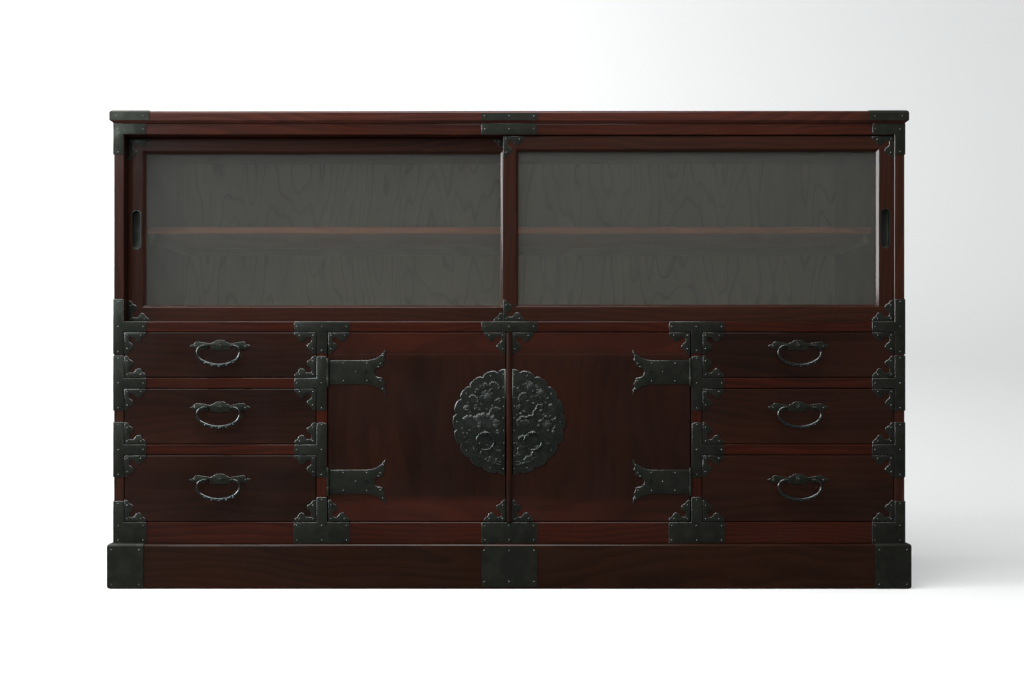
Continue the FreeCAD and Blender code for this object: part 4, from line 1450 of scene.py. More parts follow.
@dataclass(frozen=True)
class Relief:
    """The embossed face of half a lock plate: clouds, boughs, blossoms and leaves in a rim.

    A motif's rows give its place across and up, its size, its turn and, where it is not the
    usual one, its height. A zone in which leaves are strewn is a place, a radius and a count.
    """

    motifs: dict[Motif, tuple[tuple[float, ...], ...]]
    zones: tuple[tuple[float, float, float, int], ...]
    seed: int
    step: float = 0.75
    start: float = 0.8
    reach: float = 96.5
    rim: float = 4.0
    rim_fade: float = 3.0
    seam: float = 7.5
    seam_fade: float = 2.0
    lift: float = 0.12
    sunk: float = 0.3
    wall: float = 0.6

    def stamps(self) -> list[Stamp]:
        """Strews the leaves over the zones.

        Returns:
            The leaves and the larger motifs.
        """
        chance = random.Random(self.seed)
        made = []
        for across, up, radius, count in self.zones:
            for _ in range(count):
                way = chance.uniform(0, 2 * math.pi)
                far = radius * math.sqrt(chance.random())
                place = (across + far * math.cos(way), up + far * math.sin(way))
                made.append(Stamp(Motif.LEAF, *place, chance.uniform(6.5, 11.0),
                                  chance.uniform(0, math.pi), chance.uniform(1.0, 1.9)))
        return made + [Stamp(motif, *row) for motif, rows in self.motifs.items() for row in rows]

    def ground(self, across: Field, up: Field) -> Field:
        """The stippled ground between the motifs, with waves along the foot of the rim.

        Args:
            across: Distances from the straight edge.
            up: Heights above the plate's middle.

        Returns:
            The heights.
        """
        grain = np.sin(across * 2.1 + 0.8 * np.sin(up)) * np.sin(up * 2.1)
        swell = np.sin(across * 0.31 + 1.3 * np.sin(up * 0.17)) * np.sin(up * 0.27 + 0.6)
        radius, angle = np.hypot(across, up), np.arctan2(up, across)
        wave = np.cos((radius - 90.0) * 1.1 + 2.2 * np.abs(np.sin(angle * 11)))
        rolls = np.clip((radius - 80) / 3, 0, 1) * np.clip(-np.sin(angle) * 2 - 1.1, 0, 1)
        return np.maximum(0.2 * np.clip(grain, 0, 1) + 0.35 * np.clip(swell, 0, 1),
                          1.2 * np.clip(wave, 0, 1) ** 0.7 * rolls)

    def heights(self, across: Field, up: Field) -> Field:
        """How far each point of the face stands out of the plate.

        Args:
            across: Distances from the straight edge.
            up: Heights above the plate's middle.

        Returns:
            The heights of the relief.
        """
        total = self.ground(across, up)
        for stamp in self.stamps():
            total = np.maximum(total, stamp.heights(across, up))
        to_rim = self.reach - self.rim - np.hypot(across, up)
        to_seam = across - self.seam
        edge = np.clip(to_rim / self.rim_fade, 0, 1) * np.clip(to_seam / self.seam_fade, 0, 1)
        return (total + self.lift) * edge - self.sunk * (1 - edge)

    def face(self) -> Mesh:
        """Makes the relief.

        Returns:
            A closed slab whose back is inside the plate.
        """
        part = bmesh.new()
        columns = int(self.reach / self.step)
        bmesh.ops.create_grid(part, x_segments=columns, y_segments=2 * columns,
                              size=self.reach / 2, matrix=UPRIGHT)
        bmesh.ops.scale(part, verts=part.verts, vec=(1.0, 1.0, 2.0))
        move(part, part.verts, x=self.reach / 2 + self.start)
        outside = [v for v in part.verts if math.hypot(v.co.x, v.co.z) > self.reach]
        bmesh.ops.delete(part, geom=outside, context="VERTS")
        places = np.array([(v.co.x, v.co.z) for v in part.verts])
        for vertex, height in zip(part.verts, self.heights(places[:, 0], places[:, 1])):
            vertex.co.y = -float(height)
        border = [edge for edge in part.edges if edge.is_boundary]
        grown = bmesh.ops.extrude_edge_only(part, edges=border)
        move(part, grown_corners(grown), y=self.wall)
        bmesh.ops.edgeloop_fill(part, edges=grown_border(grown))
        return part


RELIEFS = {
    Side.LEFT: Relief(
        {
            Motif.BLOSSOM: ((38, 53, 27, 0.2, 2.6), (50, -38.5, 30, 0.2, 0.8)),
            Motif.ARCH: ((46, 74, 17, 0.1), (22, 73, 20, 0.5), (66, 46, 20, 0.6, 2.0),
                         (40, -2, 42, 0.35, 2.6), (69, -3, 34, 0.5, 2.4), (22, 22, 18, -0.3),
                         (28, -80, 20, 2.9, 1.4)),
            Motif.CURL: ((81, 26, 10, 0.8, 2.0), (92, -17, 10, 1.6), (90, -38, 9, 2.6),
                         (82, -62, 10, 3.0), (57, -77, 10, 2.2), (12, 45, 9, 0.3),
                         (16, -22, 9, 1.3)),
            Motif.BOUGH: ((18, -58, 26, 0.5, 1.2), (20, 4, 24, 0.9, 1.4)),
        },
        ((52, 60, 26, 16), (74, 30, 16, 9), (84, -30, 18, 8), (50, -58, 22, 12), (24, 34, 18, 8),
         (30, -84, 14, 5), (62, 14, 16, 6)),
        seed=31,
    ),
    Side.RIGHT: Relief(
        {
            Motif.BLOSSOM: ((36, 74, 22, 0.3, 2.4), (60, 62, 22, 0.9, 2.6), (72, -6, 20, 0.5, 2.2),
                            (47, -36.5, 30, 0.6, 0.8)),
            Motif.BOUGH: ((36, 16, 66, 0.62, 2.6), (30, -28, 34, 0.45, 2.0),
                          (38, -68, 32, 0.8, 2.0)),
            Motif.ARCH: ((84, 50, 18, -0.6), (22, 50, 20, 0.9, 2.0), (24, -6, 22, 0.2, 1.4),
                         (84, 26, 20, -0.9, 2.0), (60, -82, 20, 2.5, 1.4)),
            Motif.CURL: ((70, 78, 9, 0.4), (92, 6, 9, 1.2), (88, -22, 10, 2.2, 2.0),
                         (78, -46, 10, 2.8, 1.6), (22, -86, 9, 2.9), (14, 30, 9, 0.9)),
        },
        ((54, 50, 26, 16), (30, 66, 20, 10), (72, -4, 20, 13), (88, 34, 12, 5), (26, -56, 20, 9),
         (58, -66, 20, 8), (20, 14, 14, 5), (50, 28, 14, 6)),
        seed=47,
    ),
}


@dataclass(frozen=True)
class LockPlate:
    """Half of the round lock plate: a scalloped plate that carries the relief."""

    side: Side
    radius: float = 109.3
    cusp: float = 103.2
    lobes: int = 20
    lobe_steps: int = 10
    lobe_power: float = 2.2
    thickness: float = 2.0
    rim: float = 1.6
    seam_nails: tuple[float, ...] = (98.0, 72.0, 50.0, 32.0, 8.0, -18.0, -44.0, -70.0, -97.0)
    seam_inset: float = 4.2
    seam_lift: float = 0.3
    rim_inset: float = 3.4
    rim_nail: float = 1.4

    def rim_radius(self, angle: float) -> float:
        """Works out how far the scalloped rim is from the middle.

        Args:
            angle: The angle from the top.

        Returns:
            The radius there.
        """
        share = (angle * self.lobes / (2 * math.pi) + 0.5) % 1.0 - 0.5
        bow = math.sqrt(max(0.0, 1 - (2 * abs(share)) ** self.lobe_power))
        return self.cusp + (self.radius - self.cusp) * bow

    def half_disc(self) -> Mesh:
        """Makes the plate.

        Returns:
            The plate, with its straight edge on x = 0 and its face towards -Y.
        """
        part = bmesh.new()
        bmesh.ops.create_circle(part, cap_ends=True, segments=self.lobes * self.lobe_steps,
                                radius=1.0, matrix=UPRIGHT)
        for vertex in part.verts:
            angle = math.atan2(vertex.co.x, vertex.co.z)
            radius = self.rim_radius(angle)
            vertex.co = (radius * math.sin(angle), 0.0, radius * math.cos(angle))
        bmesh.ops.bisect_plane(part, geom=[*part.verts, *part.edges, *part.faces],
                               plane_co=(0, 0, 0), plane_no=(-1, 0, 0), clear_outer=True)
        set_skin(ease(part, raise_face(part, self.thickness), self.rim), Skin.WORN)
        return part

    def fix(self, bench: Bench, edge_x: float, y: float, z: float) -> None:
        """Nails half a plate to a door.

        Args:
            bench: The piece that it becomes part of.
            edge_x: Where its straight edge is.
            y: The face that it lies on.
            z: The height of its middle.
        """
        outwards = self.side.value
        face = y - self.thickness
        bench.take(self.half_disc(), mirrored((edge_x, y, z), outwards))
        bench.take(RELIEFS[self.side].face(), mirrored((edge_x, face, z), outwards))
        for up in self.seam_nails:
            bench.nail(edge_x + outwards * self.seam_inset, face - self.seam_lift, z + up)
        reach = self.cusp - self.rim_inset
        for step in range(1, self.lobes // 2, 2):
            angle = 2 * math.pi * step / self.lobes
            bench.nail(edge_x + outwards * reach * math.sin(angle), face,
                       z + reach * math.cos(angle), self.rim_nail)


# Sub-assemblies


@dataclass
class Finishes:
    """Every material of the sideboard, made once. Depths and heights are in millimetres.

    Painted shade darkens the wood from a small depth behind the front, standing in for the shade
    in gaps and openings; on side boards it reaches only up to the cheek behind their inner faces.
    """

    red: tuple[Colour, Colour] = (srgb(38, 13, 5), srgb(70, 25, 10))
    # Where the painted shade in gaps and openings starts behind the front.
    lining: float = 1.6
    cheek: float = 5.0
    door_back: float = 0.4
    rebate: float = 4.0
    clamp: float = 45.0
    plate: float = 2.0
    crest: float = 3.4
    made: dict[str, Material] = field(default_factory=dict)

    def ends(self, node: str, height: float) -> tuple[Point, Point]:
        """The heights, in metres, that a node's two ends take up."""
        low, high = span(node)
        return (0.0, (low.z + height) * MM), ((high.z - height) * MM, 1.0)

    def build(self) -> None:
        """Makes the materials."""
        door_low, door_high = span("cupboard_door_left")
        # Depths of the painted shade on the inner faces of gaps and openings.
        near = (front_plane() + self.lining) * MM
        inside = (near, 1.0)
        plate_y = (door_low.y - self.plate) * MM
        upright = Run.UPRIGHT
        bare = dict(coat=0.0, roughness=0.55)
        bright = dict(metal=0.95, depth=0.05)
        finishes = (
            # The top's tones are lighter than the rails': painted light for the light from the
            # upper left on its rounded front edge.
            Wood("lacquered_top", srgb(54, 24, 17), srgb(88, 42, 31), rings=70, seed=1.0),
            Wood("lacquered_rail", *self.red, rings=90, seed=2.0, inside=inside),
            Wood("lacquered_head", srgb(44, 18, 10), srgb(78, 33, 18), rings=90, seed=2.5),
            Wood("lacquered_stile", *self.red, run=upright, rings=90, seed=3.0, inside=inside),
            Wood("lacquered_drawer", rings=45, seed=4.0, figure=0.3, inside=inside),
            Wood("lacquered_door", srgb(30, 15, 8), srgb(52, 24, 14), run=upright, rings=28,
                 seed=5.0, figure=0.25, bands=self.ends("cupboard_door_left", self.clamp),
                 blend=0.010, band_dark=srgb(34, 17, 9), band_light=srgb(70, 28, 16),
                 inside=(near, (door_high.y - self.door_back) * MM)),
            Wood("lacquered_batten", run=upright, rings=28, seed=5.5),
            Wood("lacquered_side", srgb(38, 18, 11), srgb(66, 32, 20), run=upright, rings=30,
                 seed=6.0, inside=inside,
                 within=(span("side_panel_right")[0].x + self.cheek) * MM),
            Wood("lacquered_plinth", srgb(30, 13, 4), srgb(50, 23, 9), run=Run.ROUND, rings=40,
                 seed=7.0),
            Wood("lacquered_frame", srgb(40, 20, 12), srgb(64, 31, 19), run=upright, rings=80,
                 seed=8.0, bands=self.ends("glass_door_left_pane", self.rebate)),
            Wood("shelf_wood", srgb(154, 78, 40), srgb(194, 110, 62), srgb(110, 62, 38), seed=9.0,
                 roughness=0.4),
            Wood("back_wood", srgb(158, 153, 130), srgb(106, 98, 80), srgb(78, 68, 54),
                 run=upright, rings=9, wander=1.5, seed=10.0, figure=0.45, sharp=9.0, **bare),
            Wood("drawer_wood", srgb(104, 94, 80), srgb(128, 117, 100), srgb(84, 74, 62),
                 rings=40, seed=11.0, **bare),
            Iron("black_iron"),
            Iron("worn_iron", srgb(112, 115, 113), srgb(146, 148, 146), srgb(180, 180, 178),
                 roughness=0.27, **bright),
            Iron("handled_iron", srgb(86, 90, 89), srgb(120, 124, 122), srgb(160, 161, 158),
                 roughness=0.24, **bright),
            Iron("nail_iron", srgb(120, 124, 124), srgb(160, 162, 162), srgb(190, 190, 188),
                 roughness=0.25, depth=0.03),
            Iron("embossed_iron", srgb(52, 55, 50), srgb(82, 87, 80), srgb(118, 122, 118),
                 roughness=0.27, depth=0.05, crests=(plate_y, plate_y - self.crest * MM)),
            Glass("door_glass"),
        )
        for finish in finishes:
            self.made[finish.name] = finish.material()

    def __getitem__(self, name: str) -> Material:
        """A material by its name."""
        return self.made[name]

    def ironwork(self, face: str = "black_iron") -> tuple[Material, ...]:
        """The finishes of an ironwork piece, in the order that Skin gives."""
        return self[face], self["worn_iron"], self["nail_iron"]


@dataclass
class Carcass:
    """The case, its shelves and runners, and the irons on its frame, top and plinth.

    Nails on the top are inset from its ends. Those on the plinth are inset from its ends too,
    and stand so far above its lower edge and below its upper one.
    """

    finishes: Finishes
    body: str = "carcass"
    top_insets: Point = (14.0, 70.0)
    top_rise: float = 1.0
    plinth_insets: Point = (9.0, 66.0)
    plinth_rows: Point = (8.0, 13.0)
    middle_columns: Triple = (-51.0, 0.0, 51.0)
    middle_row: float = 14.0

    def build(self) -> None:
        """Dresses the boards and nails the irons."""
        boards = {
            "lacquered_top": ("top_board",),
            "lacquered_head": ("head_rail",),
            "lacquered_rail": ("sill_rail", "front_rails", "door_stops"),
            "lacquered_stile": ("partitions",),
            "lacquered_side": ("side_panel_left", "side_panel_right"),
            "lacquered_plinth": ("plinth",),
            "shelf_wood": ("display_shelf",),
            "back_wood": ("back_panels",),
            "drawer_wood": ("bottom_board", "middle_board", "cupboard_shelf", "shelf_cleats",
                            "drawer_runners"),
        }
        for finish, nodes in boards.items():
            for node in nodes:
                dress(node, self.finishes[finish], EASED)
        for node in ("top_irons", "plinth_irons", "hinge_leaves", "hinge_pins"):
            dress(node, self.finishes["black_iron"])
        self.nail_top_and_plinth()
        FrameIrons(self.finishes).build()

    def nail_top_and_plinth(self) -> None:
        """Drives the nails of the irons on the top and the plinth."""
        bench = Bench("top_and_plinth_nails")
        plinth_low, plinth_high = span("plinth_irons")
        top_end = span("top_irons")[1].x
        board_low, board_high = span("top_board")
        top_y = board_low.y - IRON
        plinth_y = span("plinth")[0].y - IRON
        top_z = (board_low.z + board_high.z) / 2 + self.top_rise
        above, below = self.plinth_rows
        for sign in (-1, 1):
            for inset in self.top_insets:
                bench.nail(sign * (top_end - inset), top_y, top_z)
            for inset in self.plinth_insets:
                for z in (plinth_low.z + above, plinth_high.z - below):
                    bench.nail(sign * (plinth_high.x - inset), plinth_y, z)
        for x in self.middle_columns:
            bench.nail(x, top_y, top_z)
            for z in (plinth_low.z + self.middle_row, plinth_high.z - self.middle_row):
                bench.nail(x, plinth_y, z)
        bench.finish(self.finishes.ironwork("nail_iron"), self.body)


@dataclass(frozen=True)
class Cross:
    """The outline of an iron on the face frame: a stem along a stile and an arm along a rail.

    Distances go outwards along the rail from the middle of the sideboard.
    """

    stem: Point
    stem_z: Point
    arm: Point
    arm_z: Point
    bulge: float = 2.2
    tip: float = 6.0

    def outline(self) -> list[Turn]:
        """Draws the outline. The arm's ends and a stem's free top are slightly bowed.

        Returns:
            Its corners in order.
        """
        (stem_in, stem_out), (stem_low, stem_high) = self.stem, self.stem_z
        (arm_in, arm_out), (arm_low, arm_high) = self.arm, self.arm_z
        middle = (arm_low + arm_high) / 2
        corners: list[Turn] = []
        if stem_low < arm_low:
            corners += [Turn(stem_in, stem_low), Turn(stem_out, stem_low), Turn(stem_out, arm_low)]
        if arm_out > stem_out:
            end = arm_out - self.bulge
            corners += [Turn(end, arm_low), Turn(arm_out, middle, self.tip), Turn(end, arm_high)]
        elif stem_low >= arm_low:
            corners.append(Turn(stem_out, arm_low))
        if stem_high > arm_high:
            top = stem_high - self.bulge
            crown = Turn((stem_in + stem_out) / 2, stem_high, self.tip)
            corners += [Turn(stem_out, arm_high), Turn(stem_out, top), crown, Turn(stem_in, top)]
        elif arm_out <= stem_out:
            corners.append(Turn(stem_out, stem_high))
        if arm_in < stem_in:
            if stem_high > arm_high:
                corners.append(Turn(stem_in, arm_high))
            end = arm_in + self.bulge
            corners += [Turn(end, arm_high), Turn(arm_in, middle, self.tip), Turn(end, arm_low)]
            if stem_low < arm_low:
                corners.append(Turn(stem_in, arm_low))
        return corners


@dataclass
class FrameIrons:
    """The iron plates on the stiles and rails of the face frame, with their nails.

    Stems run down from the head rail and sill rail and up from the bottom rail. Those on the
    other rails reach equally far up and down.
    """

    finishes: Finishes
    margin: float = 0.4
    door_gap: float = 1.5
    outer_stem: Point = (795.9, 817.9)
    inner_stem: Point = (377.0, 397.6)
    inner_edge: float = 376.0
    outer_arm_end: float = 749.0
    inner_arm: Point = (329.2, 445.0)
    half_stem: float = 57.0
    head_drop: float = 41.0
    sill_drop: float = 44.0
    outer_rise: float = 44.0
    inner_rise: float = 52.0
    outer_bulge: float = 0.6
    inner_bulge: float = 3.2
    foot_bulge: float = 0.8
    drawer_rails: tuple[Point, ...] = ((275.0, 296.5), (412.5, 434.0))
    wrap: float = 45.0
    wrap_corner: float = 2.0
    wrap_nail: float = 6.0
    end_nail: float = 5.6
    arm_nail: float = 6.4
    middle_nail: float = 7.1
    deep: float = 30.0
    row_inset: float = 6.5
    middle_row_inset: float = 7.0

    def build(self) -> None:
        """Makes the plates of both sides and the three middle ones."""
        bench = Bench("face_frame_plates")
        for side in Side:
            for cross in self.outer():
                self.fix(bench, cross, side)
                self.wrap_round(bench, cross, side)
            for cross in self.inner():
                self.fix(bench, cross, side)
        self.fix_middle(bench)
        bench.finish(self.finishes.ironwork(), "carcass", "frame_irons")

    def rail(self, node: str) -> Point:
        """The height of a plate on a rail, a margin inside the rail's edges."""
        low, high = span(node)
        return low.z + self.margin, high.z - self.margin

    def foot(self) -> Point:
        """The height of a plate on the bottom rail."""
        low = span("front_rails")[0].z
        return low + self.margin, span("cupboard_door_left")[0].z - self.door_gap - self.margin

    def level(self, stem: Point, arm: Point, rail: Point, bulge: float) -> Cross:
        """The outline of a plate whose stem reaches equally far above and below a rail.

        Args:
            stem: The stem's edges.
            arm: The arm's ends.
            rail: The rail's edges.
            bulge: How much the arm's ends are bowed.

        Returns:
            The outline.
        """
        middle = sum(rail) / 2
        stem_z = (middle - self.half_stem, middle + self.half_stem)
        return Cross(stem, stem_z, arm, (rail[0] + self.margin, rail[1] - self.margin), bulge)

    def outer(self) -> list[Cross]:
        """Draws the plates on an outer stile.

        Returns:
            Their outlines.
        """
        head, foot, sill = self.rail("head_rail"), self.foot(), self.rail("sill_rail")
        stem, bulge = self.outer_stem, self.outer_bulge
        arm = (self.outer_arm_end, stem[1])
        rails = [*self.drawer_rails, (sill[0] - self.margin, sill[1] + self.margin)]
        return [
            Cross(stem, (head[0] - self.margin - self.head_drop, head[1]), arm, head),
            Cross(stem, (foot[0], foot[1] + self.margin + self.outer_rise), arm, foot, bulge),
            *[self.level(stem, arm, rail, bulge) for rail in rails],
        ]

    def inner(self) -> list[Cross]:
        """Draws the plates on an inner stile. Those on the drawer rails stop short of the hinges.

        Returns:
            Their outlines.
        """
        foot, sill = self.foot(), self.rail("sill_rail")
        wide = (self.inner_edge, self.inner_stem[1])
        rise = (foot[0], foot[1] + self.margin + self.inner_rise)
        arm = (self.inner_stem[0], self.inner_arm[1])
        return [
            Cross(wide, (sill[0] - self.margin - self.sill_drop, sill[1]), self.inner_arm, sill),
            Cross(wide, rise, self.inner_arm, foot, self.foot_bulge),
            *[self.level(self.inner_stem, arm, rail, self.inner_bulge)
              for rail in self.drawer_rails],
        ]

    def rows(self, low: float, high: float, inset: float) -> tuple[float, ...]:
        """The heights of a plate's nails: two rows, inset, on a deep plate, or else one."""
        return (low + inset, high - inset) if high - low > self.deep else ((low + high) / 2,)

    def fix(self, bench: Bench, cross: Cross, side: Side) -> None:
        """Nails a plate to the face frame.

        Args:
            bench: The piece that it becomes part of.
            cross: Its outline.
            side: The half of the sideboard.
        """
        y = front_plane()
        bench.take(flat_plate(cross.outline()), mirrored((0.0, y, 0.0), side.value))
        (stem_in, stem_out), (stem_low, stem_high) = cross.stem, cross.stem_z
        (arm_in, arm_out), (arm_low, arm_high) = cross.arm, cross.arm_z
        stile = (stem_in + stem_out) / 2
        rows = self.rows(arm_low, arm_high, self.row_inset)
        places = [(stile, row) for row in rows]
        if stem_low < arm_low:
            places.append((stile, stem_low + self.end_nail))
        if stem_high > arm_high:
            places.append((stile, stem_high - self.end_nail))
        if arm_in < stem_in:
            places += [(arm_in + self.arm_nail, row) for row in rows]
        if arm_out > stem_out:
            places += [(arm_out - self.arm_nail, row) for row in rows]
        for x, z in places:
            bench.nail(side.value * x, y - IRON, z)

    def wrap_round(self, bench: Bench, cross: Cross, side: Side) -> None:
        """Bends a plate round the side of the sideboard.

        Args:
            bench: The piece that it becomes part of.
            cross: Its outline.
            side: The half of the sideboard.
        """
        low, high = cross.stem_z
        front, outer, sign = front_plane(), self.outer_stem[1], side.value
        quarter = math.pi / 2 * sign
        outline = [Turn(0.0, low), Turn(self.wrap, low, self.wrap_corner),
                   Turn(self.wrap, high, self.wrap_corner), Turn(0.0, high)]
        turned = Matrix.Rotation(quarter, 4, "Z") @ Matrix.Diagonal((sign, 1.0, 1.0, 1.0))
        place = Matrix.Translation((sign * (outer - IRON), front, 0.0)) @ turned
        bench.take(flat_plate(outline), place)
        for z in (low + self.end_nail, high - self.end_nail):
            bench.nail(sign * outer, front + self.wrap - self.wrap_nail, z, turn=quarter)

    def fix_middle(self, bench: Bench) -> None:
        """Nails the three plates in the middle of the rails.

        Args:
            bench: The piece that they become part of.
        """
        y = front_plane()
        half = self.half_stem
        for low, high in (self.foot(), self.rail("sill_rail"), self.rail("head_rail")):
            outline = [Turn(-half, low), Turn(half, low), Turn(half, high), Turn(-half, high)]
            bench.take(flat_plate(outline), Matrix.Translation((0.0, y, 0.0)))
            for x in (-half + self.middle_nail, 0.0, half - self.middle_nail):
                for z in self.rows(low, high, self.middle_row_inset):
                    bench.nail(x, y - IRON, z)


@dataclass
class GlassDoor:
    """One sliding glass door with its corner plates and finger pull.

    The plates are thin, because one door slides close behind the other.
    """

    side: Side
    finishes: Finishes
    plate: CornerPlate = CornerPlate(thickness=1.0)
    margin: float = 1.2
    pull_length: float = 82.0
    pull_width: float = 20.0
    pull_depth: float = 9.0
    pull_wall: float = 1.2
    pull_round: float = 2.4
    pull_inset: float = 17.0
    pull_rise: float = 1.0
    pull_corners: int = 28
    pull_steps: int = 4

    def build(self) -> None:
        """Dresses the frame and pane, and makes the irons."""
        body = f"glass_door_{self.side.word}"
        dress(f"{body}_frame", self.finishes["lacquered_frame"], EASED)
        dress(f"{body}_pane", self.finishes["door_glass"])
        low, high = span(f"{body}_irons")
        face = span(f"{body}_frame")[0].y
        bench = Bench(f"{body}_plates")
        self.plate.fix(bench, low, high, face)
        edge = high.x if self.side is Side.RIGHT else low.x
        x = edge + self.side.value * (self.margin - self.pull_inset)
        middle = (low.z + high.z) / 2 + self.pull_rise
        bench.take(self.finger_pull(), Matrix.Translation((x, face, middle)))
        bench.finish(self.finishes.ironwork(), body, f"{body}_irons")

    def finger_pull(self) -> Mesh:
        """Makes the oblong cup that is let into the stile.

        Returns:
            The cup, with its rim in the plane y = 0.
        """
        cup = bmesh.new()
        half_step = Matrix.Rotation(math.pi / self.pull_corners, 4, "Z")
        bmesh.ops.create_circle(cup, cap_ends=True, segments=self.pull_corners,
                                radius=self.pull_width / 2, matrix=UPRIGHT @ half_step)
        stretch = (self.pull_length - self.pull_width) / 2
        for vertex in cup.verts:
            vertex.co.z += math.copysign(stretch, vertex.co.z)
        depth = self.pull_depth + self.pull_wall
        rim = bmesh.ops.extrude_face_region(cup, geom=list(cup.faces))
        raised = [item for item in rim["geom"] if isinstance(item, Face)]
        move(cup, grown_corners(rim), y=-depth)
        move(cup, cup.verts, y=depth)
        bmesh.ops.recalc_face_normals(cup, faces=cup.faces)
        lip = bmesh.ops.inset_region(cup, faces=raised, thickness=self.pull_wall)
        set_skin(lip["faces"], Skin.WORN)
        sunk = grown_corners(bmesh.ops.extrude_face_region(cup, geom=raised))
        bmesh.ops.delete(cup, geom=raised, context="FACES_ONLY")
        move(cup, sunk, y=self.pull_depth)
        bottom = [edge for edge in cup.edges if all(vertex in sunk for vertex in edge.verts)]
        ease(cup, bottom, self.pull_round, self.pull_steps)
        return cup


@dataclass
class CupboardDoor:
    """One hinged door with its straps, corner plates, half lock plate and ring."""

    side: Side
    finishes: Finishes
    plate: CornerPlate = CornerPlate()
    strap: Strap = Strap()
    eye: Eye = Eye()
    margin: float = 1.2
    edge: float = 0.12
    ring_radius: float = 18.2
    ring_steps: int = 48
    ring_wire: float = 1.9
    wire_corners: int = 12

    def build(self) -> None:
        """Dresses the board and makes its irons."""
        body = f"cupboard_door_{self.side.word}"
        dress(body, self.finishes["lacquered_door"], self.edge)
        low, high = span(body)
        if self.side is Side.RIGHT:
            dress("meeting_batten", self.finishes["lacquered_batten"])
            low.x = span("meeting_batten")[1].x
        self.make_irons(body, low, high)
        self.make_lock(body, low.y)
        self.make_ring()

    def make_irons(self, body: str, low: Vector, high: Vector) -> None:
        """Makes the straps and corner plates.

        Args:
            body: The door's name.
            low: The lowest corner of its board.
            high: The board's highest corner.
        """
        bench = Bench(f"{body}_plates")
        inset = Vector((self.margin, 0.0, self.margin))
        self.plate.fix(bench, low + inset, high - inset, low.y)
        axis = pivot(f"{body}_hinge")
        away = self.strap.from_edge + self.strap.half_height
        for z in (low.z + away, high.z - away):
            self.strap.fix(bench, axis, z, -self.side.value, low.y)
        bench.finish(self.finishes.ironwork(), body, f"{body}_irons")

    def make_lock(self, body: str, face: float) -> None:
        """Makes the half lock plate and the eye of the ring.

        Args:
            body: The door's name.
            face: The depth of its face.
        """
        node = f"lock_plate_{self.side.word}"
        low, high = span(node)
        edge = low.x if self.side is Side.RIGHT else high.x
        bench = Bench(f"{node}_relief")
        lock = LockPlate(self.side)
        lock.fix(bench, edge, face, (low.z + high.z) / 2)
        axis = pivot(f"ring_pull_{self.side.word}_swing")
        self.eye.fix(bench, axis.x, axis.y, axis.z, face - lock.thickness)
        bench.finish(self.finishes.ironwork("embossed_iron"), body, node, crease=50.0)

    def make_ring(self) -> None:
        """Makes the ring pull."""
        body = f"ring_pull_{self.side.word}"
        axis = pivot(f"{body}_swing")
        bench = Bench(f"{body}_wire")
        ring = wire_ring((self.ring_radius, 0.0, 0.0), (0, 1, 0), self.ring_wire,
                         self.wire_corners, self.ring_steps)
        bench.take(ring, Matrix.Translation((axis.x, axis.y, axis.z - self.ring_radius)))
        bench.finish(self.finishes.ironwork("handled_iron"), body, body)


@dataclass
class Drawer:
    """One drawer with its front, box, irons and drop handle."""

    side: Side
    row: Row
    finishes: Finishes
    plate: CornerPlate = CornerPlate()
    handle: Handle = Handle()
    box_edge: float = 0.4

    def build(self) -> None:
        """Dresses the wood and makes the irons and the handle."""
        body = f"drawer_{self.side.word}_{self.row.value}"
        dress(f"{body}_front", self.finishes["lacquered_drawer"], EASED)
        dress(f"{body}_box", self.finishes["drawer_wood"], self.box_edge)
        low, high = span(f"{body}_fittings")
        face = span(f"{body}_front")[0].y
        axis = pivot(f"{body}_bail_swing")
        bench = Bench(f"{body}_plates")
        self.plate.fix(bench, low, high, face)
        self.handle.fix(bench, axis, face)
        bench.finish(self.finishes.ironwork(), body, f"{body}_fittings")
        grip = Bench(f"{body}_handle")
        grip.take(self.handle.bar(), Matrix.Translation(axis))
        grip.finish(self.finishes.ironwork("handled_iron"), f"{body}_bail", f"{body}_bail")


# Studio


@dataclass(frozen=True)
class Lamp:
    """A soft lamp: where it hangs, what it points at, its size, its power and its colour."""

    name: str
    place: Triple
    aim: Triple
    size: Point
    power: float
    colour: Colour

    def hang(self) -> None:
        """Adds the lamp."""
        data = bpy.data.lights.new(self.name, "AREA")
        data.shape = "RECTANGLE"
        data.size, data.size_y = self.size
        data.energy = self.power
        data.color = self.colour
        lamp = bpy.data.objects.new(self.name, data)
        lamp.location = self.place
        towards = Vector(self.aim) - Vector(self.place)
        lamp.rotation_euler = towards.to_track_quat("-Z", "Y").to_euler()
        bpy.context.scene.collection.objects.link(lamp)


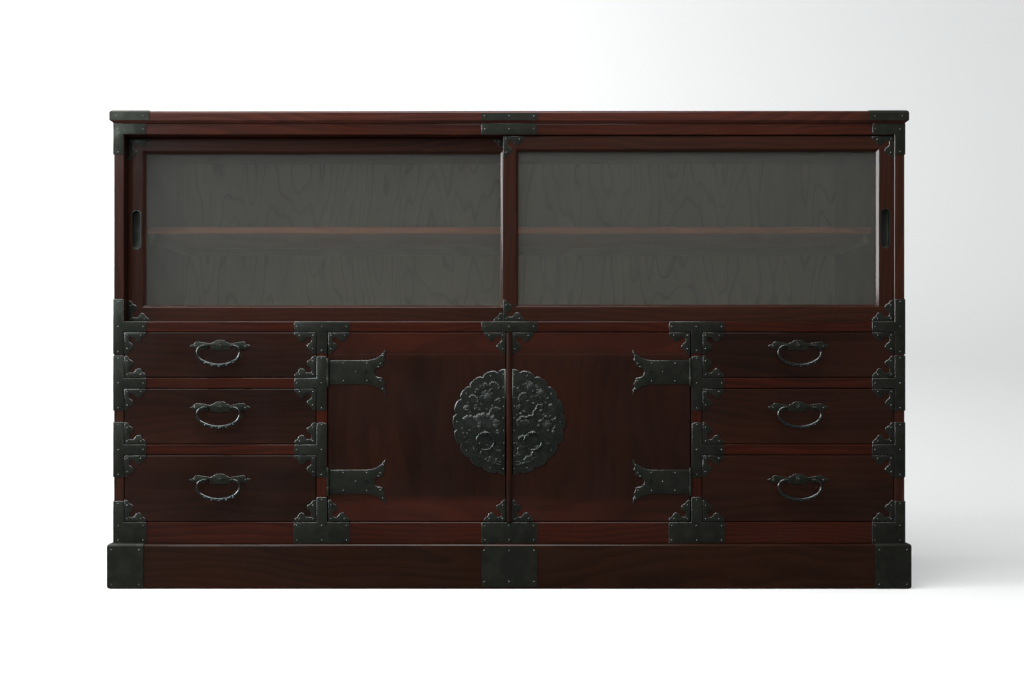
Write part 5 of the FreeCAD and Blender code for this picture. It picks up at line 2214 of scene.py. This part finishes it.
@dataclass
class Studio:
    """The camera at the photograph's angle, soft light, and a pale floor and wall, in metres.

    The columns and rows are the photograph's.
    """

    distance: float = 2.3
    scale: float = 0.002065
    middle_column: float = 509.2
    floor_row: float = 588.0
    eye_row: float = 385.0
    sensor: float = 36.0
    far: float = 50.0
    stage_colour: Colour = (0.8, 0.8, 0.79)
    floor_reach: float = 6.0
    wall_shift: float = -4.6
    wall_height: float = 6.0
    corner: float = 0.5
    corner_steps: int = 12
    room_colour: Colour = (0.95, 0.98, 1.0)
    room_light: Point = (0.25, 0.7)
    room_fade: Point = (-0.2, 0.9)
    mirrored_loss: float = 0.85
    lamps: tuple[Lamp, ...] = (
        Lamp("window", (-3.2, -0.6, 1.5), (-0.4, -0.1, 0.75), (2.2, 1.2), 92.0, (0.97, 0.99, 1.0)),
        Lamp("ceiling", (-0.6, -0.85, 2.6), (-0.5, -0.75, 0.0), (3.6, 1.5), 68.0, (1.0, 1.0, 1.0)),
        Lamp("fill", (-2.55, -3.3, 2.02), (-0.4, 0.0, 0.6), (1.2, 0.8), 24.0, (0.8, 0.92, 1.0)),
    )

    def camera(self) -> None:
        """Places the camera level, at the photograph's height and distance."""
        data = bpy.data.cameras.new("camera")
        data.sensor_width = self.sensor
        data.lens = self.distance / self.scale / PHOTO_WIDTH * self.sensor
        data.shift_y = (self.eye_row - PHOTO_HEIGHT / 2) / PHOTO_WIDTH
        data.clip_end = self.far
        camera = bpy.data.objects.new("camera", data)
        camera.location = ((PHOTO_WIDTH / 2 - self.middle_column) * self.scale,
                           front_plane() * MM - self.distance,
                           (self.floor_row - self.eye_row) * self.scale)
        camera.rotation_euler = (math.pi / 2, 0.0, 0.0)
        bpy.context.scene.collection.objects.link(camera)
        bpy.context.scene.camera = camera

    def stage(self) -> None:
        """Lays the floor and stands the wall behind, in one sheet with a rounded corner."""
        part = bmesh.new()
        bmesh.ops.create_grid(part, x_segments=1, y_segments=1, size=self.floor_reach)
        back = [edge for edge in part.edges if all(vertex.co.y > 0 for vertex in edge.verts)]
        move(part, back[0].verts, y=self.wall_shift)
        move(part, grown_corners(bmesh.ops.extrude_edge_only(part, edges=back)),
             z=self.wall_height)
        ease(part, back, self.corner, self.corner_steps)
        for face in part.faces:
            face.smooth = True
        mesh = bpy.data.meshes.new("floor_and_wall")
        part.to_mesh(mesh)
        part.free()
        mesh.materials.append(Pale("pale_stage", self.stage_colour).material())
        sheet = bpy.data.objects.new("floor_and_wall", mesh)
        bpy.context.scene.collection.objects.link(sheet)

    def world(self) -> None:
        """Fills the room with a dim even light, brighter above."""
        world = bpy.data.worlds.new("room")
        bpy.context.scene.world = world
        world.use_nodes = True
        s = Shading(world.node_tree)
        height = s.split(s.add("TexCoord").outputs["Generated"])["Z"]
        light = s.remap(height, *self.room_fade, *self.room_light)
        mirrored_ray = s.add("LightPath").outputs["Is Glossy Ray"]
        seen = s.math("SUBTRACT", 1.0, s.math("MULTIPLY", mirrored_ray, self.mirrored_loss))
        back = s.feed(s.add("Background"), Color=self.room_colour,
                      Strength=s.math("MULTIPLY", light, seen))
        s.feed(s.add("OutputWorld"), Surface=back.outputs[0])

    def build(self) -> None:
        """Sets up the studio."""
        self.camera()
        self.stage()
        self.world()
        for lamp in self.lamps:
            lamp.hang()
        bpy.context.scene.view_settings.view_transform = "Standard"


def main() -> None:
    """Builds everything in order."""
    logging.basicConfig(level=logging.INFO, format="%(name)s: %(message)s")
    effects.build()
    finishes = Finishes()
    finishes.build()
    Studio().build()
    Carcass(finishes).build()
    for side in Side:
        GlassDoor(side, finishes).build()
        CupboardDoor(side, finishes).build()
        for row in Row:
            Drawer(side, row, finishes).build()


if __name__ == "__main__":
    main()
